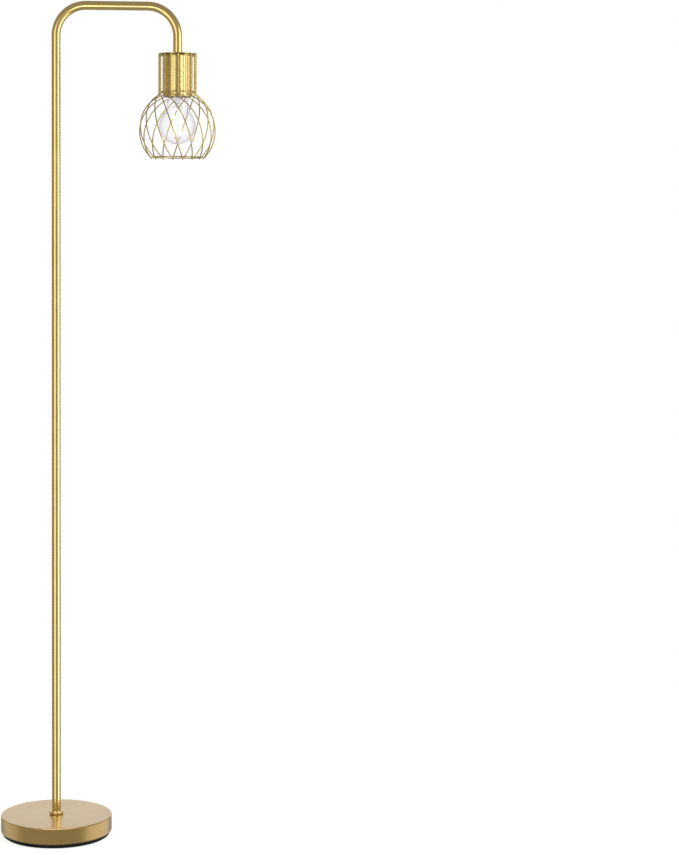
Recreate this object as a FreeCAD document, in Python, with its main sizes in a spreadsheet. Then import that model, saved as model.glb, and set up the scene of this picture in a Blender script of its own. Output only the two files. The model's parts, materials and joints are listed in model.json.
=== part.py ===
import FreeCAD, Part
import math
import os

import Sketcher

# Wire cage floor lamp. A weighted round base carries a screwed tube pole; its bent top reaches out to +X
# and holds a lamp socket in a cup, with a cage of bent wires hung round it, and a bulb screwed in from below.
# Millimetres, +Z up. The origin is the centre of the base's underside, on the floor.
# Most pieces are turned outlines, given as (radius, height) corners in their own local frame.

SIZES = {
    # base
    "base_radius": 105.0,
    "pad_inset": 7.0,
    "pad_thickness": 2.0,
    "tray_inset": 4.5,
    "tray_height": 6.0,
    "tray_floor": 2.5,
    "tray_rim": 3.0,
    "cover_height": 30.5,
    "cover_wall": 1.2,
    "cover_edge_rounding": 2.6,
    "cover_lip": 6.0,
    "weight_inset": 10.0,
    "weight_thickness": 18.0,
    "weight_boss_radius": 30.0,
    "weight_recess_radius": 22.0,
    "weight_crown": 5.0,
    "lead_channel_radius": 3.5,
    "bushing_height": 17.0,
    "bushing_bore_radius": 3.0,
    "bushing_body_radius": 4.5,
    "bushing_flange_radius": 6.5,
    "bushing_flange": 1.6,
    "bushing_tail": 6.0,
    "screw_circle_radius": 60.0,
    "screw_shank_radius": 2.0,
    "screw_head_radius": 3.6,
    "screw_head_height": 1.4,
    "screw_length": 9.0,
    "screw_count": 4.0,
    # hollow lamp thread, shared by the base, the pole joints and the head
    "thread_radius": 5.0,
    "thread_bore_radius": 3.5,
    "nut_across_flats": 14.0,
    "nut_thickness": 5.0,
    "washer_radius": 14.0,
    "washer_thickness": 1.5,
    "lock_washer_radius": 8.5,
    "lock_washer_thickness": 0.8,
    # pole
    "pole_radius": 8.5,
    "tube_wall": 1.0,
    "collar_radius": 13.3,
    "collar_height": 6.0,
    "collar_seat_depth": 3.0,
    "collar_rounding": 1.9,
    "lower_pole_length": 578.5,
    "upper_pole_length": 570.0,
    "plug_length": 18.0,
    "joint_thread_length": 14.0,
    "arm_rise": 376.5,
    "arm_reach": 227.0,
    "arm_drop": 87.7,
    "bend_radius": 56.0,
    # wire cage, hung from a round plate under the arm's end
    "plate_thickness": 1.5,
    "wire_radius": 1.1,
    "wire_count": 16.0,
    "cup_to_ring": 3.15,
    "globe_radius": 69.9,
    "mouth_radius": 49.2,
    "bend_drop": 76.8,
    "equator_drop": 139.8,
    "mouth_drop": 196.4,
    "equator_twist": 57.3,
    "mouth_twist": 76.0,
    "wire_bend_radius": 3.2,
    "top_ring_drop": 3.6,
    "middle_ring_drop": 71.8,
    "mouth_ring_setback": 1.3,
    # socket cup and lampholder
    "cup_radius": 28.5,
    "cup_height": 79.5,
    "cup_wall": 1.0,
    "cup_top_rounding": 3.0,
    "cup_rim_rounding": 1.6,
    "holder_side_wall": 5.18,
    "holder_drop": 15.8,
    "holder_cap_height": 16.0,
    "holder_body_height": 32.5,
    "holder_floor": 5.5,
    "holder_wall": 2.5,
    "holder_spigot": 4.0,
    "spigot_wall": 1.6,
    "holder_bush_radius": 8.0,
    "holder_bush_length": 9.0,
    "shell_length": 24.0,
    "shell_wall": 0.7,
    "shell_flange_bore": 9.8,
    "contact_width": 5.0,
    "contact_thickness": 0.4,
    "terminal_offset": 9.0,
    "terminal_length": 10.0,
    "terminal_width": 8.0,
    "terminal_thickness": 0.8,
    "terminal_screw_radius": 2.6,
    "rivet_radius": 1.2,
    # screw thread of the bulb: 26 mm, 7 turns to the inch
    "bulb_pitch": 3.629,
    "bulb_thread_depth": 0.74,
    "bulb_thread_radius": 13.07,
    "bulb_thread_length": 17.2,
    "thread_gap": 0.35,
    # bulb
    "globe_glass_radius": 34.7,
    "glass_wall": 0.8,
    "neck_curve_radius": 20.0,
    "glass_end_radius": 15.0,
    "neck_lean": 10.5,
    "bulb_glass_length": 104.5,
    "cap_wall": 0.5,
    "cap_skirt_radius": 13.9,
    "cap_skirt_height": 3.0,
    "insulator_height": 4.2,
    "tip_radius": 4.7,
    "tip_height": 2.0,
    "filament_radius": 1.1,
    "filament_length": 50.0,
    "filament_top_circle": 11.5,
    "filament_bottom_circle": 8.0,
    "filament_count": 4.0,
    "filament_bottom_height": 14.5,
    # lead inside the lamp
    "lead_radius": 2.75,
    "lead_bend_radius": 10.0,
    # clearances
    "fixed_gap": 0.05,
    "hole_gap": 0.2,
    "contact_gap": 0.3,
}

# Heights above the floor and other places that several pieces share.
TRAY_RADIUS = "Sizes.base_radius - Sizes.tray_inset"
WEIGHT_RADIUS = "Sizes.base_radius - Sizes.weight_inset"
TRAY_TOP = "Sizes.pad_thickness + Sizes.tray_height"
TRAY_FLOOR_TOP = "Sizes.pad_thickness + Sizes.tray_floor"
BASE_TOP = f"{TRAY_TOP} + Sizes.cover_height"
COVER_INSIDE = f"{BASE_TOP} - Sizes.cover_wall"
RECESS_TOP = f"{COVER_INSIDE} - Sizes.weight_crown"
WASHER_UNDERSIDE = f"{RECESS_TOP} - Sizes.washer_thickness"
BASE_NUT_TOP = f"{WASHER_UNDERSIDE} - Sizes.lock_washer_thickness"
BASE_STEM_FOOT = f"{BASE_NUT_TOP} - Sizes.nut_thickness"
COLLAR_TOP = f"{BASE_TOP} + Sizes.collar_height"
POLE_FOOT = f"{COLLAR_TOP} - Sizes.collar_seat_depth"
LOWER_JOINT = f"{POLE_FOOT} + Sizes.lower_pole_length"
UPPER_JOINT = f"{LOWER_JOINT} + Sizes.upper_pole_length"
HEAD_TOP = f"{UPPER_JOINT} + Sizes.arm_rise - Sizes.arm_drop"
PLUG_RADIUS = "Sizes.pole_radius - Sizes.tube_wall - Sizes.fixed_gap"
TUBE_BORE = "Sizes.pole_radius - Sizes.tube_wall"
STEM_RADIUS = "Sizes.thread_radius - Sizes.fixed_gap"
CLEAR_HOLE = "Sizes.thread_radius + Sizes.hole_gap"
ARM = "Sizes.arm_reach"
# The wires stand clear of the cup by the rings welded inside them.
SLEEVE_RADIUS = "Sizes.cup_radius + Sizes.cup_to_ring + 3 * Sizes.wire_radius + Sizes.fixed_gap"
# Heights in the head's own frame, whose zero is the top of the cage's plate.
CUP_INSIDE = "-Sizes.plate_thickness - Sizes.cup_wall"
HOLDER_TOP = "-Sizes.holder_drop"
HOLDER_SPLIT = f"{HOLDER_TOP} - Sizes.holder_cap_height"
HOLDER_UNDERSIDE = f"{HOLDER_SPLIT} - Sizes.holder_floor"
HOLDER_MOUTH = f"{HOLDER_SPLIT} - Sizes.holder_body_height"
SHELL_MOUTH = f"{HOLDER_UNDERSIDE} - Sizes.shell_length"
SHELL_RADIUS = "Sizes.bulb_thread_radius + Sizes.thread_gap + Sizes.shell_wall"
HOLDER_RADIUS = f"{SHELL_RADIUS} + Sizes.hole_gap + Sizes.holder_side_wall"
TIP_RIVET = "Sizes.terminal_offset - 2"
SHELL_RIVET = "-Sizes.shell_flange_bore - Sizes.rivet_radius - 1"
CONTACT_UNDERSIDE = f"{HOLDER_UNDERSIDE} - Sizes.contact_thickness * 2.5"
BULB_TOP = f"{CONTACT_UNDERSIDE} - Sizes.contact_gap"
CAP_TOP = f"{BULB_TOP} - Sizes.tip_height - Sizes.insulator_height"
CAP_SKIRT_TOP = f"{CAP_TOP} - Sizes.bulb_thread_length"
CAP_FOOT = f"{CAP_SKIRT_TOP} - Sizes.cap_skirt_height"
GLASS_TIP = f"{CAP_FOOT} - Sizes.fixed_gap - Sizes.bulb_glass_length"
CAP_CORE = "Sizes.bulb_thread_radius - Sizes.bulb_thread_depth - Sizes.cap_wall"

doc = FreeCAD.newDocument("WireCageFloorLamp")
sheet = doc.addObject("Spreadsheet::Sheet", "Sizes")
pieces = []


def fill_sheet():
    """Writes each driving size into the sheet and gives its cell the size's name."""
    for row, (name, value) in enumerate(SIZES.items(), start=1):
        sheet.set(f"A{row}", name)
        sheet.set(f"B{row}", str(value))
        sheet.setAlias(f"B{row}", name)
    doc.recompute()


def size(expression):
    """The present value of an expression in the sheet's names."""
    return float(sheet.evalExpression(expression))


def place(piece, across="0", up="0"):
    """Ties the place of a piece to the sheet and keeps the piece for the hand-out."""
    piece.setExpression(".Placement.Base.x", across)
    piece.setExpression(".Placement.Base.z", up)
    pieces.append(piece)
    return piece


def new_sketch(body, name, plane="XZ_Plane"):
    """An empty sketch on one of the body's own origin planes."""
    sketch = body.newObject("Sketcher::SketchObject", name)
    support = next(item for item in body.Origin.OriginFeatures if item.Role == plane)
    sketch.AttachmentSupport = (support, [""])
    sketch.MapMode = "FlatFace"
    return sketch


def constrain(sketch, expression, kind, *where):
    """A dimension in the sketch whose value follows the sheet."""
    index = sketch.addConstraint(Sketcher.Constraint(kind, *where, size(expression)))
    sketch.setExpression(f"Constraints[{index}]", expression)


def pin(sketch, edge, end, across, up):
    """Fixes one end of a sketch edge at a place given by two expressions."""
    if across == "0":
        sketch.addConstraint(Sketcher.Constraint("PointOnObject", edge, end, -2))
    else:
        constrain(sketch, across, "DistanceX", -1, 1, edge, end)
    if up == "0":
        sketch.addConstraint(Sketcher.Constraint("PointOnObject", edge, end, -1))
    else:
        constrain(sketch, up, "DistanceY", -1, 1, edge, end)


def draw_outline(body, name, corners, plane="XZ_Plane"):
    """A closed outline of straight sides through corners given as pairs of expressions."""
    sketch = new_sketch(body, name, plane)
    spots = [FreeCAD.Vector(size(across), size(up), 0) for across, up in corners]
    for here, there in zip(spots, spots[1:] + spots[:1]):
        sketch.addGeometry(Part.LineSegment(here, there), False)
    for side in range(len(spots)):
        following = (side + 1) % len(spots)
        sketch.addConstraint(Sketcher.Constraint("Coincident", side, 2, following, 1))
    for side, (across, up) in enumerate(corners):
        pin(sketch, side, 1, across, up)
    return sketch


def draw_circle(body, name, plane, across, up, radius):
    """A round outline for a pocket or a pad."""
    sketch = new_sketch(body, name, plane)
    centre = FreeCAD.Vector(size(across), size(up), 0)
    sketch.addGeometry(Part.Circle(centre, FreeCAD.Vector(0, 0, 1), size(radius)), False)
    pin(sketch, 0, 3, across, up)
    constrain(sketch, radius, "Radius", 0)
    return sketch


def turned(label, corners, across="0", up="0"):
    """A body turned about its own Z axis from an outline of (radius, height) corners."""
    body = doc.addObject("PartDesign::Body", label)
    sketch = draw_outline(body, f"{label}_outline", corners)
    turning = body.newObject("PartDesign::Revolution", f"{label}_turning")
    turning.Profile = sketch
    turning.ReferenceAxis = (sketch, ["V_Axis"])
    turning.Angle = 360
    doc.recompute()
    return place(body, across, up)


def sleeve(label, bore, radius, low, high, across="0", up="0"):
    """A turned ring or tube between two heights."""
    corners = [(bore, low), (radius, low), (radius, high), (bore, high)]
    return turned(label, corners, across, up)


def circle_edges(shape, radius, height):
    """Names of the circular edges of that radius at that height in the body's frame."""
    names = []
    for number, edge in enumerate(shape.Edges, start=1):
        curve = edge.Curve
        if isinstance(curve, Part.Circle):
            same_size = abs(curve.Radius - radius) < 0.01
            if same_size and abs(curve.Center.z - height) < 0.01:
                names.append(f"Edge{number}")
    return names


def round_edges(body, radius, circles):
    """Rounds circular edges, each given by its radius and height expressions."""
    base = body.Tip
    names = []
    for ring, height in circles:
        names += circle_edges(base.Shape, size(ring), size(height))
    if len(names) != len(circles):
        raise ValueError(f"{body.Label}: an edge to round is missing")
    rounding = body.newObject("PartDesign::Fillet", f"{body.Label}_rounding")
    rounding.Base = (base, names)
    rounding.setExpression("Radius", radius)
    doc.recompute()


def cut_pocket(body, sketch, depth, reverse=False, both_ways=False):
    """Cuts a sketch into the body and stops if nothing was removed."""
    before = body.Shape.Volume
    pocket = body.newObject("PartDesign::Pocket", f"{sketch.Name}_cut")
    pocket.Profile = sketch
    pocket.setExpression("Length", depth)
    pocket.Reversed = reverse
    pocket.Midplane = both_ways
    doc.recompute()
    if body.Shape.Volume > before - 1e-3:
        raise ValueError(f"{sketch.Name} cut nothing")
    return pocket


def repeat_round(body, feature, sketch, count):
    """Repeats a feature round the body's Z axis."""
    pattern = body.newObject("PartDesign::PolarPattern", f"{feature.Name}_ring")
    pattern.Originals = [feature]
    pattern.Axis = (sketch, ["N_Axis"])
    pattern.Angle = 360
    pattern.setExpression("Occurrences", count)
    body.Tip = pattern
    doc.recompute()


def hex_nut(label, across, up):
    """A hexagon nut with its bore, standing on the given height."""
    block = doc.addObject("Part::Prism", f"{label}_block")
    block.Polygon = 6
    block.setExpression("Circumradius", "Sizes.nut_across_flats / sqrt(3)")
    block.setExpression("Height", "Sizes.nut_thickness")
    bore = doc.addObject("Part::Cylinder", f"{label}_bore")
    bore.setExpression("Radius", "Sizes.thread_radius")
    bore.setExpression("Height", "Sizes.nut_thickness")
    nut = doc.addObject("Part::Cut", label)
    nut.Base = block
    nut.Tool = bore
    return place(nut, across, up)


def shaped(label, shape, across="0", up="0"):
    """A piece whose shape is worked out here from the sheet's values."""
    piece = doc.addObject("Part::Feature", label)
    piece.Shape = shape
    return place(piece, across, up)


# Base

def base_pad():
    """The thin non-slip pad that rests on the floor."""
    sleeve("base_pad", "0", "Sizes.base_radius - Sizes.pad_inset", "0", "Sizes.pad_thickness")


def base_tray():
    """The dished plate under the weight, with counterbored holes for its screws."""
    rim_bore = f"{TRAY_RADIUS} - Sizes.tray_rim"
    floor = "Sizes.pad_thickness"
    corners = [
        ("0", floor),
        (TRAY_RADIUS, floor),
        (TRAY_RADIUS, TRAY_TOP),
        (rim_bore, TRAY_TOP),
        (rim_bore, TRAY_FLOOR_TOP),
        ("0", TRAY_FLOOR_TOP),
    ]
    body = turned("base_tray", corners)
    centre = ("Sizes.screw_circle_radius", "0")
    shank = "Sizes.screw_shank_radius + Sizes.hole_gap"
    hole = draw_circle(body, "tray_screw_hole", "XY_Plane", *centre, shank)
    pocket = cut_pocket(body, hole, TRAY_FLOOR_TOP, reverse=True)
    repeat_round(body, pocket, hole, "Sizes.screw_count")
    head = "Sizes.screw_head_radius + Sizes.hole_gap"
    seat = draw_circle(body, "tray_screw_seat", "XY_Plane", *centre, head)
    depth = "Sizes.pad_thickness + Sizes.screw_head_height"
    pocket = cut_pocket(body, seat, depth, reverse=True)
    repeat_round(body, pocket, seat, "Sizes.screw_count")


def base_weight():
    """The cast disc: a boss reaches up to the cover, a recess hides the nut, a bore lets the lead in."""
    disc_top = f"{TRAY_FLOOR_TOP} + Sizes.weight_thickness"
    corners = [
        ("Sizes.weight_recess_radius", TRAY_FLOOR_TOP),
        (WEIGHT_RADIUS, TRAY_FLOOR_TOP),
        (WEIGHT_RADIUS, disc_top),
        ("Sizes.weight_boss_radius", disc_top),
        ("Sizes.weight_boss_radius", COVER_INSIDE),
        (CLEAR_HOLE, COVER_INSIDE),
        (CLEAR_HOLE, RECESS_TOP),
        ("Sizes.weight_recess_radius", RECESS_TOP),
    ]
    body = turned("base_weight", corners)
    channel = draw_circle(
        body, "lead_channel", "XZ_Plane", "0", "Sizes.bushing_height", "Sizes.lead_channel_radius"
    )
    cut_pocket(body, channel, f"{WEIGHT_RADIUS} + 1")
    pilot = "Sizes.screw_shank_radius + Sizes.fixed_gap"
    hole = draw_circle(body, "weight_screw_hole", "XY_Plane", "Sizes.screw_circle_radius", "0", pilot)
    depth = f"{TRAY_FLOOR_TOP} + Sizes.screw_length"
    pocket = cut_pocket(body, hole, depth, reverse=True)
    repeat_round(body, pocket, hole, "Sizes.screw_count")


def base_cover():
    """The drawn metal shell, with a rounded top edge, a lip turned in below and the bushing's hole."""
    lip_radius = "Sizes.base_radius - Sizes.cover_lip"
    inside = "Sizes.base_radius - Sizes.cover_wall"
    lip_top = f"{TRAY_TOP} + Sizes.cover_wall"
    corners = [
        (lip_radius, TRAY_TOP),
        ("Sizes.base_radius", TRAY_TOP),
        ("Sizes.base_radius", BASE_TOP),
        (CLEAR_HOLE, BASE_TOP),
        (CLEAR_HOLE, COVER_INSIDE),
        (inside, COVER_INSIDE),
        (inside, lip_top),
        (lip_radius, lip_top),
    ]
    body = turned("base_cover", corners)
    outer = [("Sizes.base_radius", BASE_TOP), ("Sizes.base_radius", TRAY_TOP)]
    round_edges(body, "Sizes.cover_edge_rounding", outer)
    inner = [(inside, COVER_INSIDE), (inside, lip_top)]
    round_edges(body, "Sizes.cover_edge_rounding - Sizes.cover_wall", inner)
    hole = "Sizes.bushing_body_radius + Sizes.fixed_gap"
    sketch = draw_circle(body, "bushing_hole", "XZ_Plane", "0", "Sizes.bushing_height", hole)
    cut_pocket(body, sketch, "Sizes.base_radius + 1")


def cord_bushing():
    """The flanged sleeve in the back of the base, where a mains cord goes in."""
    face = "Sizes.base_radius"
    corners = [
        ("Sizes.bushing_bore_radius", f"{face} + Sizes.bushing_flange"),
        ("Sizes.bushing_flange_radius", f"{face} + Sizes.bushing_flange"),
        ("Sizes.bushing_flange_radius", face),
        ("Sizes.bushing_body_radius", face),
        ("Sizes.bushing_body_radius", f"{face} - Sizes.bushing_tail"),
        ("Sizes.bushing_bore_radius", f"{face} - Sizes.bushing_tail"),
    ]
    body = turned("cord_bushing", corners, up="Sizes.bushing_height")
    body.Placement.Rotation = FreeCAD.Rotation(FreeCAD.Vector(1, 0, 0), -90)


def tray_screws():
    """The pan-head screws that hold the tray to the weight."""
    head_top = size("Sizes.screw_head_height")
    head = Part.makeCylinder(size("Sizes.screw_head_radius"), head_top)
    reach = size("Sizes.tray_floor + Sizes.screw_length")
    screw = head.fuse(Part.makeCylinder(size("Sizes.screw_shank_radius"), reach)).removeSplitter()
    screw.translate(FreeCAD.Vector(size("Sizes.screw_circle_radius"), 0, 0))
    count = round(size("Sizes.screw_count"))
    axis = FreeCAD.Vector(0, 0, 1)
    turns = [screw.rotated(FreeCAD.Vector(), axis, 360 * turn / count) for turn in range(count)]
    shaped("tray_screws", Part.makeCompound(turns), up="Sizes.pad_thickness")


def base_fixings():
    """The hollow stem that clamps the pole to the base, with its nut and washers."""
    top = f"{POLE_FOOT} + Sizes.plug_length"
    sleeve("base_stem", "Sizes.thread_bore_radius", STEM_RADIUS, BASE_STEM_FOOT, top)
    sleeve("base_washer", CLEAR_HOLE, "Sizes.washer_radius", WASHER_UNDERSIDE, RECESS_TOP)
    sleeve("base_lock_washer", CLEAR_HOLE, "Sizes.lock_washer_radius", BASE_NUT_TOP, WASHER_UNDERSIDE)
    hex_nut("base_nut", "0", BASE_STEM_FOOT)


# Pole

def foot_collar():
    """The low round collar that the pole's foot stands in."""
    seat = "Sizes.pole_radius + Sizes.fixed_gap"
    corners = [
        (CLEAR_HOLE, BASE_TOP),
        ("Sizes.collar_radius", BASE_TOP),
        ("Sizes.collar_radius", COLLAR_TOP),
        (seat, COLLAR_TOP),
        (seat, POLE_FOOT),
        (CLEAR_HOLE, POLE_FOOT),
    ]
    body = turned("foot_collar", corners)
    edges = [("Sizes.collar_radius", BASE_TOP), ("Sizes.collar_radius", COLLAR_TOP)]
    round_edges(body, "Sizes.collar_rounding", edges)


def joint_socket(label, foot, across="0"):
    """A threaded bush pressed into the foot of a tube, which stands on the given height."""
    sleeve(label, "Sizes.thread_radius", PLUG_RADIUS, "0", "Sizes.plug_length", across, foot)


def joint_stud(label, joint):
    """A bush pressed into a tube's top, with a hollow thread that reaches into the next tube."""
    corners = [
        ("Sizes.thread_bore_radius", "-Sizes.plug_length"),
        (PLUG_RADIUS, "-Sizes.plug_length"),
        (PLUG_RADIUS, "0"),
        (STEM_RADIUS, "0"),
        (STEM_RADIUS, "Sizes.joint_thread_length"),
        ("Sizes.thread_bore_radius", "Sizes.joint_thread_length"),
    ]
    turned(label, corners, up=joint)


def pole():
    """The two straight tubes of the pole and the threaded bushes in their ends."""
    sleeve("pole_lower", TUBE_BORE, "Sizes.pole_radius", "0", "Sizes.lower_pole_length", up=POLE_FOOT)
    sleeve("pole_upper", TUBE_BORE, "Sizes.pole_radius", "0", "Sizes.upper_pole_length", up=LOWER_JOINT)
    joint_socket("foot_socket", POLE_FOOT)
    joint_stud("lower_joint_stud", LOWER_JOINT)
    joint_socket("lower_joint_socket", LOWER_JOINT)
    joint_stud("upper_joint_stud", UPPER_JOINT)
    joint_socket("upper_joint_socket", UPPER_JOINT)


def draw_arm_path(body):
    """The arm's centre line: up, over in two equal bends, and down to the cage."""
    rise = size("Sizes.arm_rise")
    reach = size(ARM)
    drop = size("Sizes.arm_drop")
    bend = size("Sizes.bend_radius")
    sketch = new_sketch(body, "arm_path")
    flat = FreeCAD.Vector(0, 0, 1)
    left = Part.Circle(FreeCAD.Vector(bend, rise - bend, 0), flat, bend)
    right = Part.Circle(FreeCAD.Vector(reach - bend, rise - bend, 0), flat, bend)
    runs = [
        Part.LineSegment(FreeCAD.Vector(0, 0, 0), FreeCAD.Vector(0, rise - bend, 0)),
        Part.ArcOfCircle(left, math.pi / 2, math.pi),
        Part.LineSegment(FreeCAD.Vector(bend, rise, 0), FreeCAD.Vector(reach - bend, rise, 0)),
        Part.ArcOfCircle(right, 0, math.pi / 2),
        Part.LineSegment(FreeCAD.Vector(reach, rise - bend, 0), FreeCAD.Vector(reach, rise - drop, 0)),
    ]
    sketch.addGeometry(runs, False)
    joins = [(0, 2, 1, 2), (1, 1, 2, 1), (2, 2, 3, 2), (3, 1, 4, 1)]
    for join in joins:
        sketch.addConstraint(Sketcher.Constraint("Tangent", *join))
    sketch.addConstraint(Sketcher.Constraint("Coincident", 0, 1, -1, 1))
    sketch.addConstraint(Sketcher.Constraint("Vertical", 0))
    sketch.addConstraint(Sketcher.Constraint("Horizontal", 2))
    sketch.addConstraint(Sketcher.Constraint("Vertical", 4))
    sketch.addConstraint(Sketcher.Constraint("Equal", 1, 3))
    constrain(sketch, "Sizes.bend_radius", "Radius", 1)
    constrain(sketch, "Sizes.arm_rise", "DistanceY", -1, 1, 2, 1)
    pin(sketch, 4, 2, ARM, "Sizes.arm_rise - Sizes.arm_drop")
    return sketch


def arm_tube():
    """The bent top tube, one pipe along its centre line."""
    body = doc.addObject("PartDesign::Body", "arm_tube")
    ring = draw_circle(body, "arm_section", "XY_Plane", "0", "0", "Sizes.pole_radius")
    centre = FreeCAD.Vector(0, 0, 0)
    bore = Part.Circle(centre, FreeCAD.Vector(0, 0, 1), size(TUBE_BORE))
    ring.addGeometry(bore, False)
    ring.addConstraint(Sketcher.Constraint("Coincident", 1, 3, -1, 1))
    constrain(ring, TUBE_BORE, "Radius", 1)
    path = draw_arm_path(body)
    pipe = body.newObject("PartDesign::AdditivePipe", "arm_pipe")
    pipe.Profile = ring
    pipe.Spine = path
    doc.recompute()
    place(body, up=UPPER_JOINT)
    joint_socket("arm_socket", HEAD_TOP, ARM)


# Cage

def cage_plate():
    """The round plate that the wires hang from, clamped under the arm's end."""
    edge = f"{SLEEVE_RADIUS} + Sizes.wire_radius"
    sleeve("cage_plate", CLEAR_HOLE, edge, "-Sizes.plate_thickness", "0", ARM, HEAD_TOP)


def cylinder_point(radius, twist, drop):
    """A point of a wire's centre line: its radius, its angle from the front and its depth."""
    angle = math.radians(twist - 90)
    return FreeCAD.Vector(radius * math.cos(angle), radius * math.sin(angle), -drop)


def arc_from(start, direction, end):
    """The arc that leaves start along a direction and ends at a point."""
    chord = end - start
    normal = direction.cross(chord).normalize()
    towards_centre = normal.cross(direction)
    radius = chord.Length ** 2 / (2 * chord.dot(towards_centre))
    centre = start + towards_centre * radius
    half_way = start + chord * 0.5 - centre
    return Part.Arc(start, centre + half_way.normalize() * radius, end)


def wire_route():
    """The front wire's centre line: straight down the sleeve, one tight bend, one flat arc round the globe."""
    top = cylinder_point(size(SLEEVE_RADIUS), 0, size("Sizes.plate_thickness + Sizes.fixed_gap"))
    corner = cylinder_point(size(SLEEVE_RADIUS), 0, size("Sizes.bend_drop"))
    equator = cylinder_point(
        size("Sizes.globe_radius"), size("Sizes.equator_twist"), size("Sizes.equator_drop")
    )
    mouth = cylinder_point(size("Sizes.mouth_radius"), size("Sizes.mouth_twist"), size("Sizes.mouth_drop"))
    through = Part.Arc(corner, equator, mouth)
    leaving = through.tangent(through.FirstParameter)[0].normalize()
    down = FreeCAD.Vector(0, 0, -1)
    turn = down.getAngle(leaving)
    bend = size("Sizes.wire_bend_radius")
    reach = bend * math.tan(turn / 2)
    bend_start = corner - down * reach
    bend_end = corner + leaving * reach
    return [
        Part.LineSegment(top, bend_start),
        arc_from(bend_start, down, bend_end),
        arc_from(bend_end, leaving, mouth),
    ]


def cage_wires(route):
    """The identical wires, set evenly round the cage."""
    path = Part.Wire([run.toShape() for run in route])
    start = route[0].StartPoint
    radius = size("Sizes.wire_radius")
    section = Part.Wire([Part.makeCircle(radius, start, FreeCAD.Vector(0, 0, 1))])
    wire = path.makePipeShell([section], True, True)
    expected = math.pi * radius ** 2 * path.Length
    print(f"wire: {path.Length:.1f} mm long, volume {wire.Volume:.1f} of {expected:.1f} mm3")
    count = round(size("Sizes.wire_count"))
    for number in range(count):
        turned_wire = wire.rotated(FreeCAD.Vector(), FreeCAD.Vector(0, 0, 1), 360 * number / count)
        shaped(f"cage_wire_{number + 1:02d}", turned_wire, ARM, HEAD_TOP)


def straight_ring(label, drop):
    """A ring rod welded inside the straight stretch of the wires."""
    ring = doc.addObject("Part::Torus", label)
    inside = f"{SLEEVE_RADIUS} - 2 * Sizes.wire_radius - Sizes.fixed_gap"
    ring.setExpression("Radius1", inside)
    ring.setExpression("Radius2", "Sizes.wire_radius")
    place(ring, ARM, f"{HEAD_TOP} - {drop}")


def mouth_ring(route):
    """The ring rod welded inside the lower ends of the wires."""
    arc = route[-1]
    setback = size("Sizes.mouth_ring_setback") / arc.length()
    parameter = arc.LastParameter - setback * (arc.LastParameter - arc.FirstParameter)
    spot = arc.value(parameter)
    heading = arc.tangent(parameter)[0]
    radial = FreeCAD.Vector(spot.x, spot.y, 0).normalize()
    slope = FreeCAD.Vector(heading.dot(radial), 0, heading.z).normalize()
    apart = size("2 * Sizes.wire_radius + Sizes.fixed_gap")
    radius = math.hypot(spot.x, spot.y) + slope.z * apart
    height = spot.z - slope.x * apart
    ring = Part.makeTorus(radius, size("Sizes.wire_radius"), FreeCAD.Vector(0, 0, height))
    print(f"mouth ring: radius {radius:.2f} mm, {-height:.2f} mm below the plate")
    shaped("cage_ring_mouth", ring, ARM, HEAD_TOP)


def cage():
    """The whole cage: plate, rings and wires."""
    cage_plate()
    straight_ring("cage_ring_top", "Sizes.top_ring_drop")
    straight_ring("cage_ring_middle", "Sizes.middle_ring_drop")
    route = wire_route()
    mouth_ring(route)
    cage_wires(route)


# Head

def socket_cup():
    """The deep cup that hides the lampholder, open below."""
    top = "-Sizes.plate_thickness"
    rim = f"{top} - Sizes.cup_height"
    inside = "Sizes.cup_radius - Sizes.cup_wall"
    lip = f"{inside} - Sizes.cup_rim_rounding"
    corners = [
        (CLEAR_HOLE, top),
        ("Sizes.cup_radius", top),
        ("Sizes.cup_radius", rim),
        (lip, rim),
        (lip, f"{rim} + Sizes.cup_wall"),
        (inside, f"{rim} + Sizes.cup_wall"),
        (inside, CUP_INSIDE),
        (CLEAR_HOLE, CUP_INSIDE),
    ]
    body = turned("socket_cup", corners, ARM, HEAD_TOP)
    round_edges(body, "Sizes.cup_top_rounding", [("Sizes.cup_radius", top)])
    round_edges(body, "Sizes.cup_top_rounding - Sizes.cup_wall", [(inside, CUP_INSIDE)])
    round_edges(body, "Sizes.cup_rim_rounding", [("Sizes.cup_radius", rim)])


def head_fixings():
    """The hollow stem that clamps plate and cup to the arm and carries the lampholder."""
    foot = f"{HOLDER_TOP} - Sizes.holder_bush_length + 2"
    top = "Sizes.plug_length - 2"
    sleeve("head_stem", "Sizes.thread_bore_radius", STEM_RADIUS, foot, top, ARM, HEAD_TOP)
    washer_foot = f"{CUP_INSIDE} - Sizes.lock_washer_thickness"
    rim = "Sizes.lock_washer_radius"
    sleeve("head_lock_washer", CLEAR_HOLE, rim, washer_foot, CUP_INSIDE, ARM, HEAD_TOP)
    hex_nut("head_nut", ARM, f"{HEAD_TOP} + {washer_foot} - Sizes.nut_thickness")


def holder_cap():
    """The lampholder's upper half, a hollow cap with a threaded bush."""
    bush_foot = f"{HOLDER_TOP} - Sizes.holder_bush_length"
    ceiling = f"{HOLDER_TOP} - Sizes.holder_wall"
    inside = f"{HOLDER_RADIUS} - Sizes.holder_wall"
    corners = [
        ("Sizes.thread_radius", HOLDER_TOP),
        (HOLDER_RADIUS, HOLDER_TOP),
        (HOLDER_RADIUS, HOLDER_SPLIT),
        (inside, HOLDER_SPLIT),
        (inside, ceiling),
        ("Sizes.holder_bush_radius", ceiling),
        ("Sizes.holder_bush_radius", bush_foot),
        ("Sizes.thread_radius", bush_foot),
    ]
    body = turned("holder_cap", corners, ARM, HEAD_TOP)
    round_edges(body, "Sizes.holder_wall", [(HOLDER_RADIUS, HOLDER_TOP)])


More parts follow.
